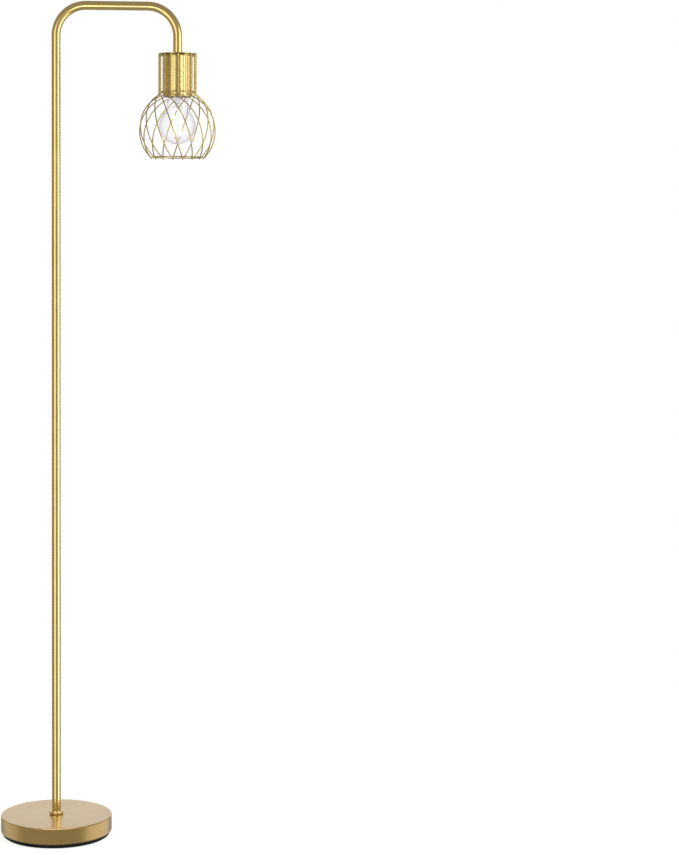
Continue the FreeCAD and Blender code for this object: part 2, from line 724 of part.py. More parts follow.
def holder_body():
    """The lampholder's lower half, a deep insulating cup round the screw shell, with a floor above it."""
    inside = f"{SHELL_RADIUS} + Sizes.hole_gap"
    spigot = f"{HOLDER_RADIUS} - Sizes.holder_wall - Sizes.fixed_gap"
    spigot_top = f"{HOLDER_SPLIT} + Sizes.holder_spigot"
    mouth_inside = "Sizes.cap_skirt_radius + 5 * Sizes.contact_gap"
    ledge = f"{SHELL_MOUTH} - Sizes.contact_gap"
    corners = [
        (mouth_inside, HOLDER_MOUTH),
        (HOLDER_RADIUS, HOLDER_MOUTH),
        (HOLDER_RADIUS, HOLDER_SPLIT),
        (spigot, HOLDER_SPLIT),
        (spigot, spigot_top),
        (f"{spigot} - Sizes.spigot_wall", spigot_top),
        (f"{spigot} - Sizes.spigot_wall", HOLDER_SPLIT),
        ("0", HOLDER_SPLIT),
        ("0", HOLDER_UNDERSIDE),
        (inside, HOLDER_UNDERSIDE),
        (inside, ledge),
        (mouth_inside, ledge),
    ]
    body = turned("holder_body", corners, ARM, HEAD_TOP)
    hole = "Sizes.rivet_radius + Sizes.fixed_gap"
    for name, across in (("tip_rivet_hole", TIP_RIVET), ("shell_rivet_hole", SHELL_RIVET)):
        sketch = draw_circle(body, name, "XY_Plane", across, "0", hole)
        cut_pocket(body, sketch, f"-({HOLDER_UNDERSIDE})")


def threaded_core(radius, foot, length):
    """A solid whose side is a rounded one-start thread: a circle carried along a narrow helix."""
    swing = size("Sizes.bulb_thread_depth / 2")
    pitch = size("Sizes.bulb_pitch")
    helix = Part.makeLongHelix(pitch, length, swing)
    circle = Part.makeCircle(radius - swing, FreeCAD.Vector(swing, 0, 0))
    sweep = Part.BRepOffsetAPI.MakePipeShell(helix)
    sweep.setTrihedronMode(FreeCAD.Vector(0, 0, 0), FreeCAD.Vector(0, 0, 1))
    sweep.add(Part.Wire([circle]))
    sweep.build()
    sweep.makeSolid()
    core = sweep.shape()
    core.translate(FreeCAD.Vector(0, 0, foot))
    return core


def thread_phase(foot):
    """Turns a core that starts at the given height so that its thread lines up with the other one."""
    return 360 * foot / size("Sizes.bulb_pitch")


def turned_core(radius, foot, length):
    """A threaded core in phase with every other core made here."""
    core = threaded_core(radius, foot, length)
    return core.rotated(FreeCAD.Vector(), FreeCAD.Vector(0, 0, 1), thread_phase(foot))


def screw_shell():
    """The threaded metal shell that takes the bulb's cap, with a flange at its top."""
    foot = size(SHELL_MOUTH)
    length = size("Sizes.shell_length")
    flange = 1.0
    blank = Part.makeCylinder(size(SHELL_RADIUS), length, FreeCAD.Vector(0, 0, foot))
    thread_reach = length - flange
    thread = turned_core(size("Sizes.bulb_thread_radius + Sizes.thread_gap"), foot - 1, thread_reach + 1)
    bore = Part.makeCylinder(size("Sizes.shell_flange_bore"), length, FreeCAD.Vector(0, 0, foot))
    shell = blank.cut(thread).cut(bore)
    shaped("screw_shell", shell, ARM, HEAD_TOP)


def centre_contact():
    """The springy strip that presses on the bulb's tip."""
    body = doc.addObject("PartDesign::Body", "centre_contact")
    root = HOLDER_UNDERSIDE
    low = CONTACT_UNDERSIDE
    thick = "Sizes.contact_thickness"
    end = "Sizes.terminal_offset"
    knee = "Sizes.tip_radius + 1"
    corners = [
        (end, root),
        (knee, root),
        ("Sizes.tip_radius - 2", f"{low} + {thick}"),
        ("-Sizes.tip_radius + 2", f"{low} + {thick}"),
        ("-Sizes.tip_radius + 2", low),
        ("Sizes.tip_radius - 1.6", low),
        (f"{knee} + 0.4", f"{root} - {thick}"),
        (end, f"{root} - {thick}"),
    ]
    sketch = draw_outline(body, "contact_outline", corners)
    pad = body.newObject("PartDesign::Pad", "contact_pad")
    pad.Profile = sketch
    pad.setExpression("Length", "Sizes.contact_width")
    pad.Midplane = True
    doc.recompute()
    place(body, ARM, HEAD_TOP)


def terminals():
    """The two terminal plates on the lampholder's floor, riveted to the centre contact and to the shell."""
    floor = size(HOLDER_SPLIT)
    rivet_foot = size(HOLDER_UNDERSIDE)
    offset = size("Sizes.terminal_offset")
    width = size("Sizes.terminal_width")
    length = size("Sizes.terminal_length")
    thickness = size("Sizes.terminal_thickness")
    rivet_radius = size("Sizes.rivet_radius")
    plates = []
    for middle, rivet_at in ((offset, size(TIP_RIVET)), (-offset, size(SHELL_RIVET))):
        corner = FreeCAD.Vector(middle - width / 2, -length / 2, floor)
        plate = Part.makeBox(width, length, thickness, corner)
        rivet_base = FreeCAD.Vector(rivet_at, 0, rivet_foot)
        rivet = Part.makeCylinder(rivet_radius, floor - rivet_foot, rivet_base)
        plates.append(plate.fuse(rivet).removeSplitter())
    shaped("terminal_plates", Part.makeCompound(plates), ARM, HEAD_TOP)
    screws = []
    head_radius = size("Sizes.terminal_screw_radius")
    for side in (1, -1):
        seat = FreeCAD.Vector(side * offset, 0, floor + thickness)
        head = Part.makeCylinder(head_radius, 1.6, seat)
        slot = Part.makeBox(6, 0.8, 0.8, seat + FreeCAD.Vector(-3, -0.4, 0.9))
        screws.append(head.cut(slot))
    shaped("terminal_screws", Part.makeCompound(screws), ARM, HEAD_TOP)


# Bulb

def bulb_glass():
    """The clear envelope: most of a sphere, a hollow curve and a tapering neck, one even wall thick."""
    globe = size("Sizes.globe_glass_radius")
    curve = size("Sizes.neck_curve_radius")
    wall = size("Sizes.glass_wall")
    length = size("Sizes.bulb_glass_length")
    end = size("Sizes.glass_end_radius")
    # The neck's line leaves its end at a small slope; the hollow arc touches both that line and the globe.
    lean = math.radians(size("Sizes.neck_lean"))
    inward = FreeCAD.Vector(math.cos(lean), 0, math.sin(lean))
    rim = FreeCAD.Vector(end, 0, length)
    middle = FreeCAD.Vector(0, 0, globe)
    along = FreeCAD.Vector(math.sin(lean), 0, -math.cos(lean))
    hub = rim + inward * curve - middle
    half = hub.dot(along)
    reach = -half - math.sqrt(half ** 2 - hub.Length ** 2 + (globe + curve) ** 2)
    centre = middle + hub + along * reach
    touch_neck = centre - inward * curve
    touch_globe = middle + (centre - middle).normalize() * globe
    outline = glass_line(globe, curve, middle, centre, inward, touch_globe, rim, 0)
    inner = glass_line(globe, curve, middle, centre, inward, touch_globe, rim, wall)
    closing = [
        Part.LineSegment(outline[-1].EndPoint, inner[-1].EndPoint),
        Part.LineSegment(inner[0].StartPoint, outline[0].StartPoint),
    ]
    edges = [run.toShape() for run in outline + inner + closing]
    face = Part.Face(Part.Wire(Part.__sortEdges__(edges)))
    glass = face.revolve(FreeCAD.Vector(0, 0, 0), FreeCAD.Vector(0, 0, 1), 360)
    print(f"glass: neck meets its curve at radius {touch_neck.x:.1f}, height {touch_neck.z:.1f} mm")
    shaped("bulb_glass", glass, ARM, f"{HEAD_TOP} + {GLASS_TIP}")


def glass_line(globe, curve, middle, centre, inward, touch, rim, inset):
    """One side of the glass's section, the given distance inside its outer face."""
    ball = globe - inset
    hollow = curve + inset
    tip = middle - FreeCAD.Vector(0, 0, ball)
    join = middle + (touch - middle).normalize() * ball
    neck = centre - inward * hollow
    end = rim - inward * inset
    end = end + FreeCAD.Vector(-inward.z, 0, inward.x) * (rim.z - end.z) * (1 / inward.x)
    side = FreeCAD.Vector(ball, 0, middle.z)
    bulge = centre - ((neck + join) * 0.5 - centre).normalize() * -hollow
    return [Part.Arc(tip, side, join), Part.Arc(join, bulge, neck), Part.LineSegment(neck, end)]


def bulb_cap():
    """The threaded metal cap with a plain skirt round the glass's end."""
    foot = size(CAP_FOOT)
    skirt_top = size(CAP_SKIRT_TOP)
    core = size(CAP_CORE)
    skirt_height = size("Sizes.cap_skirt_height")
    skirt = Part.makeCylinder(size("Sizes.cap_skirt_radius"), skirt_height, FreeCAD.Vector(0, 0, foot))
    thread = turned_core(size("Sizes.bulb_thread_radius"), skirt_top, size("Sizes.bulb_thread_length"))
    cap = skirt.fuse(thread)
    bore = Part.makeCylinder(core, size(CAP_TOP) - foot, FreeCAD.Vector(0, 0, foot))
    shaped("bulb_cap", cap.cut(bore), ARM, HEAD_TOP)


def bulb_end():
    """The black insulator that closes the cap and the solder tip on it."""
    core = f"{CAP_CORE} - Sizes.fixed_gap"
    shoulder = "Sizes.bulb_thread_radius - Sizes.bulb_thread_depth"
    insulator_top = f"{CAP_TOP} + Sizes.insulator_height"
    corners = [
        ("0", f"{CAP_TOP} - 2"),
        (core, f"{CAP_TOP} - 2"),
        (core, CAP_TOP),
        (shoulder, CAP_TOP),
        ("Sizes.tip_radius", insulator_top),
        ("0", insulator_top),
    ]
    turned("bulb_insulator", corners, ARM, HEAD_TOP)
    corners = [
        ("0", insulator_top),
        ("Sizes.tip_radius", insulator_top),
        ("Sizes.tip_radius - 1.2", BULB_TOP),
        ("0", BULB_TOP),
    ]
    turned("bulb_tip", corners, ARM, HEAD_TOP)


def bulb_inside():
    """The glass foot, its thin rod, the support wires and the lit strips inside the envelope."""
    place_at = f"{HEAD_TOP} + {GLASS_TIP}"
    length = "Sizes.bulb_glass_length"
    low = "Sizes.filament_bottom_height"
    high = f"{low} + Sizes.filament_length"
    flare = "Sizes.glass_end_radius - Sizes.glass_wall - Sizes.hole_gap"
    corners = [
        ("0", f"{low} - 4"),
        ("2.2", f"{low} - 3"),
        ("1.2", f"{low} + 1"),
        ("1.2", f"{high} + 4"),
        ("4.6", f"{high} + 7"),
        ("5.2", f"{high} + 20"),
        (flare, f"{length} - 2"),
        (flare, length),
        ("0", length),
    ]
    turned("bulb_stem", corners, ARM, place_at)
    strips = []
    arms = []
    count = round(size("Sizes.filament_count"))
    for number in range(count):
        turn = 45 + 360 * number / count
        top = ring_point(size("Sizes.filament_top_circle"), turn, size(high))
        bottom = ring_point(size("Sizes.filament_bottom_circle"), turn, size(low))
        strips.append(rod(bottom, top, size("Sizes.filament_radius")))
        upper_root = ring_point(5.6, turn, size(high) + 9)
        lower_root = ring_point(2.4, turn, size(low) - 1.5)
        lean = (top - bottom).normalize()
        arms.append(rod(upper_root, top + lean * 0.5, 0.35))
        arms.append(rod(lower_root, bottom - lean * 0.5, 0.35))
    shaped("bulb_filaments", Part.makeCompound(strips), ARM, place_at)
    shaped("bulb_supports", Part.makeCompound(arms), ARM, place_at)


def ring_point(radius, turn, height):
    """A point on a circle round the bulb's axis."""
    angle = math.radians(turn)
    return FreeCAD.Vector(radius * math.cos(angle), radius * math.sin(angle), height)


def rod(start, end, radius):
    """A round rod between two points."""
    return Part.makeCylinder(radius, (end - start).Length, start, end - start)


# Lead inside the lamp

def inner_lead():
    """The lead through base, pole and arm, from behind the bushing to the lampholder's terminals."""
    entry = FreeCAD.Vector(0, size("Sizes.base_radius - Sizes.bushing_tail - 0.5"), size("Sizes.bushing_height"))
    bend = size("Sizes.lead_bend_radius")
    arm_bend = size("Sizes.bend_radius")
    rise = size(f"{UPPER_JOINT} + Sizes.arm_rise")
    reach = size(ARM)
    foot = entry.z + bend
    terminal = size(f"{HEAD_TOP} + {HOLDER_TOP} - Sizes.holder_bush_length - 1.5")
    slant = math.sqrt(0.5)
    corner = FreeCAD.Vector(0, bend * (1 - slant), entry.z + bend * (1 - slant))
    left = FreeCAD.Vector(arm_bend * (1 - slant), 0, rise - arm_bend * (1 - slant))
    right = FreeCAD.Vector(reach - left.x, 0, left.z)
    stations = [
        entry,
        FreeCAD.Vector(0, bend, entry.z),
        FreeCAD.Vector(0, 0, foot),
        FreeCAD.Vector(0, 0, rise - arm_bend),
        FreeCAD.Vector(arm_bend, 0, rise),
        FreeCAD.Vector(reach - arm_bend, 0, rise),
        FreeCAD.Vector(reach, 0, rise - arm_bend),
        FreeCAD.Vector(reach, 0, terminal),
    ]
    runs = [
        Part.LineSegment(stations[0], stations[1]),
        Part.Arc(stations[1], corner, stations[2]),
        Part.LineSegment(stations[2], stations[3]),
        Part.Arc(stations[3], left, stations[4]),
        Part.LineSegment(stations[4], stations[5]),
        Part.Arc(stations[5], right, stations[6]),
        Part.LineSegment(stations[6], stations[7]),
    ]
    path = Part.Wire([run.toShape() for run in runs])
    radius = size("Sizes.lead_radius")
    section = Part.Wire([Part.makeCircle(radius, entry, FreeCAD.Vector(0, 1, 0))])
    lead = path.makePipeShell([section], True, True)
    expected = math.pi * radius ** 2 * path.Length
    print(f"lead: {path.Length:.0f} mm long, volume {lead.Volume:.0f} of {expected:.0f} mm3")
    shaped("inner_lead", lead)


def build():
    """Makes every piece."""
    fill_sheet()
    base_pad()
    base_tray()
    base_weight()
    base_cover()
    cord_bushing()
    tray_screws()
    base_fixings()
    foot_collar()
    pole()
    arm_tube()
    cage()
    socket_cup()
    head_fixings()
    holder_cap()
    holder_body()
    screw_shell()
    centre_contact()
    terminals()
    bulb_glass()
    bulb_cap()
    bulb_end()
    bulb_inside()
    inner_lead()
    doc.recompute()


def hand_out():
    """Stops on a failed object or shape, then writes one file for each piece."""
    for item in doc.Objects:
        if "Invalid" in item.State or "Error" in item.State:
            raise ValueError(f"{item.Label} failed: {item.State}")
    for piece in pieces:
        if piece.Shape.isNull() or not piece.Shape.isValid():
            raise ValueError(f"{piece.Label} has a faulty shape")
    os.makedirs("parts", exist_ok=True)
    for piece in pieces:
        piece.Shape.exportStep(f"parts/{piece.Label}.step")
    print(f"{len(pieces)} pieces written")


build()
hand_out()
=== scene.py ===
"""Looks of the wire cage floor lamp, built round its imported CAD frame: metres, and the CAD's own axes."""

import json
import logging
import math
from collections.abc import Callable, Sequence
from dataclasses import dataclass, field
from enum import Enum
from functools import cache
from random import Random

import bmesh
import bpy
from mathutils import Matrix, Vector

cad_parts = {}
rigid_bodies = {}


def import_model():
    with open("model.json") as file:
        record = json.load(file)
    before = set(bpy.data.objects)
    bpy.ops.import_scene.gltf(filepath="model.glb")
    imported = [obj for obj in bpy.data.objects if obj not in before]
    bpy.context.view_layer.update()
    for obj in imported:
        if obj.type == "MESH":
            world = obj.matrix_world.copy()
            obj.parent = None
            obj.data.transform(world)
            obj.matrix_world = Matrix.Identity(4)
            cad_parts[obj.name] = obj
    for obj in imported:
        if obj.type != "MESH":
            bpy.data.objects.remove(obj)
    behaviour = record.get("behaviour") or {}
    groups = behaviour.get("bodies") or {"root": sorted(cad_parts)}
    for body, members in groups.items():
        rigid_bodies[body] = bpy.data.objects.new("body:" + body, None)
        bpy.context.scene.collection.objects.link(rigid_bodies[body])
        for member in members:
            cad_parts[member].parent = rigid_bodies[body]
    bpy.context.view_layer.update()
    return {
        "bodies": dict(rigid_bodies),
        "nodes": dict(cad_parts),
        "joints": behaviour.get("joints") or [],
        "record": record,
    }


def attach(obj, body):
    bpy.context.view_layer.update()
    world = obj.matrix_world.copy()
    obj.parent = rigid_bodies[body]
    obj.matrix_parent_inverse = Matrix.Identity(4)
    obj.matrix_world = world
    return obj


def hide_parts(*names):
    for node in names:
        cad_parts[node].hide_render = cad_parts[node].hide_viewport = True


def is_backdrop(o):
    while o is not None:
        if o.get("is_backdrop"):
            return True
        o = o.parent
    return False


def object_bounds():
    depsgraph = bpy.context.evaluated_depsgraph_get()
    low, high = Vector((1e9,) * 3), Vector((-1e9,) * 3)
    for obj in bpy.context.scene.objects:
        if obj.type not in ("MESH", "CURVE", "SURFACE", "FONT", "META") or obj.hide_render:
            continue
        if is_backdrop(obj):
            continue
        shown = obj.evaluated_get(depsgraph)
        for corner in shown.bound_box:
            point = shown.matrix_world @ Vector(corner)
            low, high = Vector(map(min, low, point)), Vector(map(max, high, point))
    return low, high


log = logging.getLogger("cage_lamp")

Outline = list[tuple[float, float]]
Colour = tuple[float, float, float]
Frame = dict[str, object]
UP = Vector((0, 0, 1))
HEAD = Vector((0.227, 0, 1.4788))
"""Where the arm's end meets the top of the cage plate: the head's own origin."""
MM = 0.001
ON_AXIS = 1e-7
"""A point of an outline that is closer than this to the axis lies on it."""


class Body(Enum):
    """The bodies that the made pieces ride on."""

    LAMP = "lamp"
    BULB = "bulb"


# Drawing outlines and paths


def rounded(corners: Sequence[tuple[float, float, float]], steps: int = 7) -> Outline:
    """Rounds the corners of a closed outline.

    Args:
        corners: each corner's distance from the axis, its height and its rounding radius
        steps: runs in each rounding

    Returns:
        The outline's points, in the corners' order.
    """
    made: Outline = []
    for index, (across, up, radius) in enumerate(corners):
        here = Vector((across, up))
        if radius <= 0:
            made.append((across, up))
            continue
        back = (Vector(corners[index - 1][:2]) - here).normalized()
        ahead = (Vector(corners[(index + 1) % len(corners)][:2]) - here).normalized()
        half = back.angle(ahead) / 2
        centre = here + (back + ahead).normalized() * (radius / math.sin(half))
        reach = radius / math.tan(half)
        start, end = here + back * reach - centre, here + ahead * reach - centre
        sweep = start.angle(end)
        for step in range(steps + 1):
            share = step / steps
            spot = centre + (start * math.sin((1 - share) * sweep) + end * math.sin(share * sweep)) / math.sin(sweep)
            made.append((spot.x, spot.y))
    return made


def arc_from(start: Vector, heading: Vector, end: Vector, steps: int) -> list[Vector]:
    """The arc that leaves start along a heading and reaches end.

    Args:
        start: first point
        heading: unit direction there
        end: last point
        steps: runs in the arc

    Returns:
        The arc's points after start.
    """
    chord = end - start
    axis = heading.cross(chord).normalized()
    inward = axis.cross(heading)
    radius = chord.length_squared / (2 * chord.dot(inward))
    centre = start + inward * radius
    sweep = 2 * heading.angle(chord)
    return [centre + Matrix.Rotation(sweep * (k + 1) / steps, 3, axis) @ (start - centre) for k in range(steps)]


def smooth_line(stops: Sequence[Vector], steps: int) -> list[Vector]:
    """A smooth line through the stops.

    Args:
        stops: points that the line goes through
        steps: runs between two stops

    Returns:
        The line's points.
    """
    held = [stops[0] * 2 - stops[1], *stops, stops[-1] * 2 - stops[-2]]
    made = []
    for a, b, c, d in zip(held, held[1:], held[2:], held[3:]):
        for step in range(steps):
            t = step / steps
            square = (2 * a - 5 * b + 4 * c - d) * t * t
            cube = (3 * b - a - 3 * c + d) * t * t * t
            made.append(0.5 * (2 * b + (c - a) * t + square + cube))
    return [*made, stops[-1].copy()]


def on_circle(radius: float, turn: float, height: float) -> Vector:
    """A point on a circle round the vertical axis, its turn in degrees from +X."""
    return Vector((radius * math.cos(math.radians(turn)), radius * math.sin(math.radians(turn)), height))


@dataclass
class Shape:
    """A mesh in the making: its points and faces."""

    points: list[Vector] = field(default_factory=list)
    faces: list[tuple[int, ...]] = field(default_factory=list)

    def skin(self, rings: Sequence[Sequence[Vector]], joined: bool = False, capped: bool = False) -> None:
        """Skins a row of rings of points.

        Args:
            rings: the rings, where a ring of one point closes the skin there
            joined: whether the last ring meets the first
            capped: whether a flat face closes each end
        """
        first = []
        for ring in rings:
            first.append((len(self.points), len(ring)))
            self.points.extend(ring)
        pairs = list(zip(first, first[1:] + first[:1]))
        for (a, count_a), (b, count_b) in pairs if joined else pairs[:-1]:
            for k in range(max(count_a, count_b)):
                after = (k + 1) % max(count_a, count_b)
                if count_a == 1 and count_b == 1:
                    continue
                if count_a == 1:
                    self.faces.append((a, b + k, b + after))
                elif count_b == 1:
                    self.faces.append((a + k, b, a + after))
                else:
                    self.faces.append((a + k, b + k, b + after, a + after))
        if capped:
            for start, count in (first[0], first[-1]):
                self.faces.append(tuple(range(start, start + count)))

    def lathe(
        self,
        outline: Outline,
        centre: Vector,
        segments: int = 128,
        turn: Matrix | None = None,
        closed: bool = True,
    ) -> None:
        """Turns an outline round the vertical axis.

        Args:
            outline: distances from the axis and heights
            centre: where the outline's origin stands
            segments: faces round the piece
            turn: rotation of the turned shape about its origin
            closed: whether the outline's last point meets its first
        """
        rings = []
        for across, up in outline:
            ring = [on_circle(across, 360 * k / segments, up) for k in range(segments if across > ON_AXIS else 1)]
            rings.append([(turn @ spot if turn else spot) + centre for spot in ring])
        self.skin(rings, joined=closed)

    def tube(
        self,
        path: Sequence[Vector],
        radius: float | Callable[[float], float],
        sides: int = 16,
        looped: bool = False,
        bore: float = 0.0,
        chamfer: float = 0.0,
    ) -> None:
        """Carries a circle along a path.

        Args:
            path: the centre line
            radius: the tube's outer radius, or that as a function of the share of the path
            sides: faces round the tube
            looped: whether the path closes on itself
            bore: the hollow's radius, or 0 for a solid rod
            chamfer: how much the edges at the ends are broken
        """
        count = len(path)
        across = None
        outer, inner = [], []
        for k, spot in enumerate(path):
            before = path[k - 1] if k or looped else spot
            beyond = path[(k + 1) % count] if k + 1 < count or looped else spot
            heading = (beyond - before).normalized()
            if across is None:
                across = heading.orthogonal().normalized()
            across = (across - heading * across.dot(heading)).normalized()
            other = heading.cross(across)
            wide = radius(k / (count - 1)) if callable(radius) else radius
            spokes = [
                across * math.cos(2 * math.pi * s / sides) + other * math.sin(2 * math.pi * s / sides)
                for s in range(sides)
            ]
            at_end = not looped and k in (0, count - 1)
            if at_end and chamfer:
                inset = heading * (chamfer if k == 0 else -chamfer)
                broken = [spot + spoke * (wide - chamfer) for spoke in spokes]
                full = [spot + inset + spoke * wide for spoke in spokes]
                outer.extend([broken, full] if k == 0 else [full, broken])
            else:
                outer.append([spot + spoke * wide for spoke in spokes])
            if bore:
                inner.append([spot + spoke * bore for spoke in spokes])
        if bore:
            self.skin(outer + inner[::-1], joined=True)
        else:
            self.skin(outer, joined=looped, capped=not looped)

    def bead(self, centre: Vector, axes: Sequence[Vector], lumps: Random, amount: float = 0.09) -> None:
        """Adds a weld bead: a flattened, slightly lumpy blob.

        Args:
            centre: its middle
            axes: its three half sizes as vectors
            lumps: where its unevenness comes from
            amount: that unevenness, as a share of its size
        """
        rows, around = 8, 12
        rings = []
        for row in range(rows + 1):
            lean = math.pi * row / rows - math.pi / 2
            ring = []
            for k in range(around if 0 < row < rows else 1):
                turn = 2 * math.pi * k / around
                swell = 1 + lumps.uniform(-amount, amount)
                ring.append(
                    centre
                    + axes[0] * (math.cos(lean) * math.cos(turn) * swell)
                    + axes[1] * (math.cos(lean) * math.sin(turn) * swell)
                    + axes[2] * (math.sin(lean) * swell)
                )
            rings.append(ring)
        self.skin(rings)

    def mesh(self, name: str, sharp: float = 38.0) -> bpy.types.Mesh:
        """Makes the Blender mesh.

        Args:
            name: its name
            sharp: angle in degrees above which an edge stays crisp

        Returns:
            The mesh, its faces turned outward and shaded smooth.
        """
        made = bpy.data.meshes.new(name)
        made.from_pydata(self.points, [], self.faces)
        work = bmesh.new()
        work.from_mesh(made)
        bmesh.ops.recalc_face_normals(work, faces=work.faces)
        work.to_mesh(made)
        work.free()
        made.shade_smooth()
        made.set_sharp_from_angle(angle=math.radians(sharp))
        return made


# Wiring node trees


class Board:
    """A node tree being wired."""

    def __init__(self, tree: bpy.types.NodeTree) -> None:
        """Starts on a tree with no nodes."""
        self.tree = tree
        tree.nodes.clear()

    def add(self, kind: str, inputs: dict[str | int, object] | None = None, **settings: object) -> bpy.types.Node:
        """Adds a node.

        Args:
            kind: the node's type, without its ShaderNode prefix
            inputs: values or output sockets for its inputs
            settings: the node's own settings

        Returns:
            The node.
        """
        made = self.tree.nodes.new(kind if kind.startswith("Node") else f"ShaderNode{kind}")
        for name, value in settings.items():
            setattr(made, name, value)
        for key, value in (inputs or {}).items():
            if isinstance(value, bpy.types.NodeSocket):
                self.tree.links.new(value, made.inputs[key])
            else:
                made.inputs[key].default_value = value
        return made

    def place(self, group: bpy.types.NodeTree, **inputs: object) -> bpy.types.Node:
        """Places a node group with its own input values."""
        return self.add("Group", {name.replace("_", " "): value for name, value in inputs.items()}, node_tree=group)

    def sum(self, operation: str, a: object, b: object) -> bpy.types.NodeSocket:
        """The result of a Math node on two values."""
        return self.add("Math", {0: a, 1: b}, operation=operation).outputs[0]

    def vector(self, operation: str, a: object, b: object = (0, 0, 0), scale: object = 1.0) -> bpy.types.NodeSocket:
        """The result of a Vector Math node."""
        inputs = {0: a, "Scale": scale} if operation == "SCALE" else {0: a, 1: b}
        return self.add("VectorMath", inputs, operation=operation).outputs[0]

    def span(
        self, value: object, low: object, high: object, to_low: object = 0.0, to_high: object = 1.0
    ) -> bpy.types.NodeSocket:
        """A value carried from one span to another, and held inside it."""
        inputs = {0: value, 1: low, 2: high, 3: to_low, 4: to_high}
        return self.add("MapRange", inputs).outputs[0]

    def blend(self, share: object, first: object, second: object) -> bpy.types.NodeSocket:
        """Mixes two colours.

        Args:
            share: the second colour's share
            first: a colour, or an output socket
            second: a colour, or an output socket

        Returns:
            The mixed colour's socket.
        """
        tinted = [(*c, 1.0) if isinstance(c, tuple) else c for c in (first, second)]
        inputs = {"Factor": share, "A": tinted[0], "B": tinted[1]}
        made = self.tree.nodes.new("ShaderNodeMix")
        made.data_type = "RGBA"
        for name, value in inputs.items():
            socket = next(s for s in made.inputs if s.name == name and (s.type == "RGBA" or name == "Factor"))
            if isinstance(value, bpy.types.NodeSocket):
                self.tree.links.new(value, socket)
            else:
                socket.default_value = value
        return next(s for s in made.outputs if s.type == "RGBA")

    def bump(
        self, height: bpy.types.NodeSocket, depth: float, normal: bpy.types.NodeSocket | None = None
    ) -> bpy.types.NodeSocket:
        """The surface's direction with a relief of a depth in metres on it."""
        inputs = {"Strength": 1.0, "Distance": depth, "Height": height}
        return self.add("Bump", inputs if normal is None else {**inputs, "Normal": normal}).outputs[0]

    def end(self, shader: bpy.types.NodeSocket) -> None:
        """Ends the tree on a shader."""
        self.add("OutputMaterial", {"Surface": shader})


def open_group(name: str, inputs: dict[str, object], outputs: dict[str, str]) -> tuple[Board, bpy.types.Node]:
    """Opens a shader node group.

    Args:
        name: the group's name
        inputs: default values by input name
        outputs: socket types by output name

    Returns:
        Its board and its input node.
    """
    tree = bpy.data.node_groups.new(name, "ShaderNodeTree")
    for label, value in inputs.items():
        kind = "NodeSocketVector" if isinstance(value, tuple) else "NodeSocketFloat"
        tree.interface.new_socket(label, in_out="INPUT", socket_type=kind).default_value = value
    for label, kind in outputs.items():
        tree.interface.new_socket(label, in_out="OUTPUT", socket_type=kind)
    board = Board(tree)
    return board, board.add("NodeGroupInput")


FINE_SPAN = (0.3, 0.7)
"""Where nearly all values of a fine noise lie."""
BROAD_SPAN = (0.35, 0.65)
"""Where nearly all values of a broad, plainer noise lie."""


@cache
def flake_layer() -> bpy.types.NodeTree:
    """Metal flakes in a paint: each flake lies at its own small angle, and a few of them get a painted glint, a mask
    that brightens their colour.

    Returns:
        The node group.
    """
    glinting_from = 0.82
    board, given = open_group(
        "flake_layer",
        {"Scale": 2500.0, "Tilt": 0.2},
        {"Normal": "NodeSocketVector", "Glint": "NodeSocketFloat"},
    )
    place = board.add("TexCoord").outputs["Object"]
    cells = board.add("TexVoronoi", {"Vector": place, "Scale": given.outputs["Scale"]}).outputs["Color"]
    lean = board.vector("SCALE", board.vector("SUBTRACT", cells, (0.5, 0.5, 0.5)), scale=given.outputs["Tilt"])
    normal = board.vector("NORMALIZE", board.vector("ADD", board.add("NewGeometry").outputs["Normal"], lean))
    chance = board.add("SeparateColor", {0: cells}).outputs[2]
    # Glint is a painted glint: the mask of the few cells whose colour is brightened.
    board.add("NodeGroupOutput", {"Normal": normal, "Glint": board.span(chance, glinting_from, 1.0)})
    return board.tree


@cache
def paint_grain() -> bpy.types.NodeTree:
    """The fine relief of a sprayed or moulded surface, and its broad, faint mottling.

    Returns:
        The node group.
    """
    board, given = open_group(
        "paint_grain",
        {"Scale": 1500.0, "Patch": 30.0},
        {"Height": "NodeSocketFloat", "Mottle": "NodeSocketFloat"},
    )
    place = board.add("TexCoord").outputs["Object"]
    fine = board.add("TexNoise", {"Vector": place, "Scale": given.outputs["Scale"], "Detail": 3.0})
    broad = board.add("TexNoise", {"Vector": place, "Scale": given.outputs["Patch"], "Detail": 2.0})
    mottle = board.span(broad.outputs["Fac"], *BROAD_SPAN)
    board.add("NodeGroupOutput", {"Height": fine.outputs["Fac"], "Mottle": mottle})
    return board.tree


@cache
def edge_wear() -> bpy.types.NodeTree:
    """Where proud edges are rubbed: sharp outward bends, broken up by noise.

    Returns:
        The node group.
    """
    proud_from, patchy = 0.53, (0.35, 0.7)
    board, given = open_group("edge_wear", {"Reach": 0.08, "Scale": 120.0}, {"Mask": "NodeSocketFloat"})
    proud = board.add("NewGeometry").outputs["Pointiness"]
    bend = board.span(proud, proud_from, board.sum("ADD", given.outputs["Reach"], proud_from))
    place = board.add("TexCoord").outputs["Object"]
    broken = board.add("TexNoise", {"Vector": place, "Scale": given.outputs["Scale"], "Detail": 4.0}).outputs["Fac"]
    board.add("NodeGroupOutput", {"Mask": board.sum("MULTIPLY", bend, board.span(broken, *patchy))})
    return board.tree


